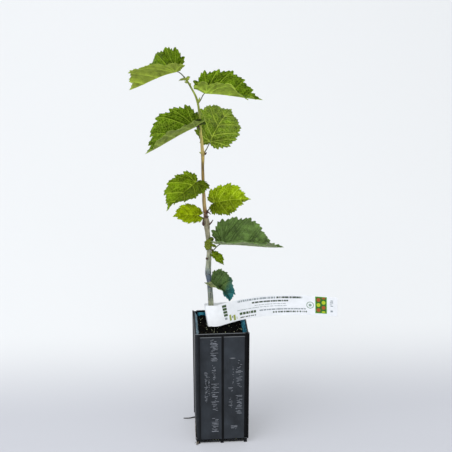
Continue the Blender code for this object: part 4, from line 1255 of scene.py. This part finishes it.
def inkMap(s, v):
    # which ink covers each point of the strip
    inks = list(labelInks)
    ink = np.zeros(s.shape, dtype=int)

    def block(left, right, low, high):
        return (s > left) & (s < right) & (v > low) & (v < high)

    rng = random.Random(5)
    for at, end, middle, tall, colour in labelRules:
        while at < end:
            word = min(rng.choice((1.2, 2.0, 2.8, 3.6, 5.2)), end - at)
            ink[block(at, at + word, middle - tall / 2, middle + tall / 2)] = inks.index(colour)
            at += word + rng.choice((0.4, 0.8, 0.8, 1.2))
    for colour, alongSpans, upSpans in labelBlocks:
        for left, right in alongSpans:
            for low, high in upSpans:
                ink[block(left, right, low, high)] = inks.index(colour)
    left, right, low, high = labelPanel["box"]
    edge = labelPanel["border"]
    ink[block(left, right, low, high)] = inks.index("border")
    ground = block(left + edge, right - edge, low + edge, high - edge)
    ink[ground] = inks.index("ground")
    for cs, cv, rs, rv, colour in labelPanel["spots"]:
        ink[ground & (np.hypot((s - cs) / rs, (v - cv) / rv) < 1)] = inks.index(colour)
    cs, cv, outer, inner, disc = labelPanel["ring"]
    away = np.hypot(s - cs, v - cv)
    ink[(away < disc) | (away < outer) & (away > inner)] = inks.index("emblem")
    return ink


def roundOff(s, v, cell):
    # grid points near a round edge move onto it, so that curves print smooth
    cs, cv, *radii = labelPanel["ring"]
    rings = [spot[:4] for spot in labelPanel["spots"]] + [(cs, cv, r, r) for r in radii]
    for cs, cv, rs, rv in rings:
        away = np.hypot((s - cs) / rs, (v - cv) / rv)
        near = np.abs(away - 1) * min(rs, rv) < cell * 0.5
        pull = np.where(near, 1 / np.maximum(away, 1e-6), 1.0)
        s, v = cs + (s - cs) * pull, cv + (v - cv) * pull
    return s, v


def makeLabel():
    label, cell = labelForm, labelForm["cell"]
    line = labelStations()
    length = np.linalg.norm(np.diff(line[:, :3], axis=0), axis=1).sum()
    columns, rows = int(length / cell) + 1, int(label["width"] / cell) + 1
    fine = alongPath(line, 4 * columns)
    distance = np.linspace(0, length, len(fine))
    s, v = np.meshgrid(np.arange(columns) * cell, np.arange(rows) * cell, indexing="ij")
    scaleStart = label["printEnd"] - s.max()
    s, v = roundOff(s + scaleStart, v, cell)
    # the printed end has rounded corners
    corner = label["endCorner"]
    past = np.clip(s - (s.max() - corner), 0, corner)
    trim = corner - np.sqrt(np.maximum(corner ** 2 - past ** 2, 0))
    v = trim + v * (1 - 2 * trim / label["width"])
    at = interpRows(s - scaleStart, distance, fine)
    ahead = interpRows(s - scaleStart, distance, unit(np.gradient(fine[:, :3], axis=0)))
    facing = unit(np.cross(ahead, (0.0, 0.0, 1.0)))
    lean = np.radians(at[..., 3:])
    top = np.cross(facing, ahead) * np.cos(lean) - facing * np.sin(lean)
    own = ease(np.clip((s - label["loopFrom"]) / (label["loopTo"] - label["loopFrom"]), 0, 1))[..., None]
    top = unit(top * own + unit(np.array(label["loopTop"])) * (1 - own))
    half = unit(np.cross(ahead, top)) * label["thick"] / 2
    middle = at[..., :3] + top * v[..., None]
    verts = np.concatenate([(middle + half).reshape(-1, 3), (middle - half).reshape(-1, 3)])
    size = rows * columns
    faces = gridFaces(columns, rows) + gridFaces(columns, rows, size, flip=True)
    ids = np.arange(size).reshape(columns, rows)
    edge = [*ids[:, 0], *ids[-1, 1:], *ids[-2::-1, -1], *ids[0, -2:0:-1]]
    faces += [(a, size + a, size + b, b) for a, b in zip(edge, edge[1:] + edge[:1])]
    centre = [(at[1:, 1:] + at[1:, :-1] + at[:-1, 1:] + at[:-1, :-1]) / 4 for at in (s, v)]
    kinds = np.zeros(len(faces), dtype=int)
    kinds[:(columns - 1) * (rows - 1)] = inkMap(*centre).ravel()
    # polypropylene film, faintly cloudy, with a smooth sheen; inks lie flat in the same gloss
    films = [mottledMaterial("label" + ink.capitalize(), 8, 2.0, [(0.3, shade(code, 0.97)), (0.7, code)],
                             {"Roughness": 0.36, "IOR": 1.49}, (0.08, 0.2))
             for ink, code in labelInks.items()]
    settle(makePiece("labelStrip", verts, faces, films, kinds), "label", "label")
    print("label done")


# ---- studio

studio = {
    "sweepStart": 0.16,  # metres behind the pot where the floor begins to rise
    "sweepRadius": 0.9,
    "wallTop": 4.0,
    "halfWidth": 4.0,
    "floorFront": -3.0,
    "lights": {
        # place in metres, side length, watts
        "key": ((-0.75, -0.5, 1.8), 1.3, 27.0),
        "front": ((0.4, -2.0, 1.2), 1.4, 17.0),
        "fill": ((1.3, -0.7, 1.5), 1.4, 7.0),
    },
    "aim": (0.0, 0.0, 0.25),
    "worldColour": "#eef1f4",
    "worldStrength": 0.60,
    "paperBack": (0.03, 0.31),  # metres behind the pot between which the floor turns to background
    "paperGlow": (0.285, 0.44),  # the white that floor and wall give off themselves, so they stay even
    "eye": (-0.0693, -1.1079, 0.768),
    "pitch": 68.285,
    "pan": -4.0,
    "lens": 70.0,
}


def paperMaterial():
    # seamless background paper: matt, greyer where it lies as the floor, glowing evenly behind
    material, add, place = startMaterial("studioPaper")
    start, end = studio["paperBack"]
    back = add("MapRange", {
        "Value": add("SeparateXYZ", {"Vector": place}, out="Y"), "From Min": start, "From Max": end},
        interpolation_type="SMOOTHSTEP")
    floorGlow, wallGlow = studio["paperGlow"]
    return finishMaterial(material, add("BsdfPrincipled", {
        "Base Color": add("ValToRGB", {"Fac": back}, [(0.0, "#90929a"), (1.0, "#a6a8aa")]),
        "Roughness": 0.8, "Specular IOR Level": 0.15, "Emission Color": "#f4f6f8",
        "Emission Strength": add("MapRange", {"Value": back, "To Min": floorGlow, "To Max": wallGlow})}))


def makeStudio():
    form, scene = studio, bpy.context.scene
    world = bpy.data.worlds.new("studioAir")
    scene.world = world
    world.use_nodes = True
    sky = world.node_tree.nodes["Background"]
    sky.inputs["Color"].default_value = hexColour(form["worldColour"])
    sky.inputs["Strength"].default_value = form["worldStrength"]
    start, radius = form["sweepStart"], form["sweepRadius"]
    sweep = [(start + radius * math.sin(a), radius * (1 - math.cos(a)))
             for a in np.linspace(0, math.pi / 2, 24)]
    profile = [(form["floorFront"], 0.0), *sweep, (start + radius, form["wallTop"])]
    verts = [(x / mm, y / mm, z / mm) for y, z in profile for x in (-form["halfWidth"], form["halfWidth"])]
    faces = [(2 * k, 2 * k + 1, 2 * k + 3, 2 * k + 2) for k in range(len(profile) - 1)]
    makePiece("studioFloor", verts, faces, [paperMaterial()])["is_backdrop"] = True
    for name, (place, size, watts) in form["lights"].items():
        light = bpy.data.lights.new(name + "Light", "AREA")
        light.energy = watts
        light.size = size
        lamp = addObject(name + "Lamp", light)
        lamp.location = place
        aim = Vector(form["aim"]) - lamp.location
        lamp.rotation_euler = aim.to_track_quat("-Z", "Y").to_euler()
    camera = bpy.data.cameras.new("camera")
    camera.lens = form["lens"]
    camera.sensor_width = 36.0
    eye = addObject("camera", camera)
    eye.location = form["eye"]
    eye.rotation_euler = (math.radians(form["pitch"]), 0.0, math.radians(form["pan"]))
    scene.camera = eye
    scene.view_settings.view_transform = "Standard"
    print("studio done")


makeTrunk()
makeLeaves()
makeBuds()
makePot()
makeSoil()
makeLabel()
makeStudio()

for low, high in (cadBox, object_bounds()):
    json.dumps([list(low), list(high)]) + "\n"
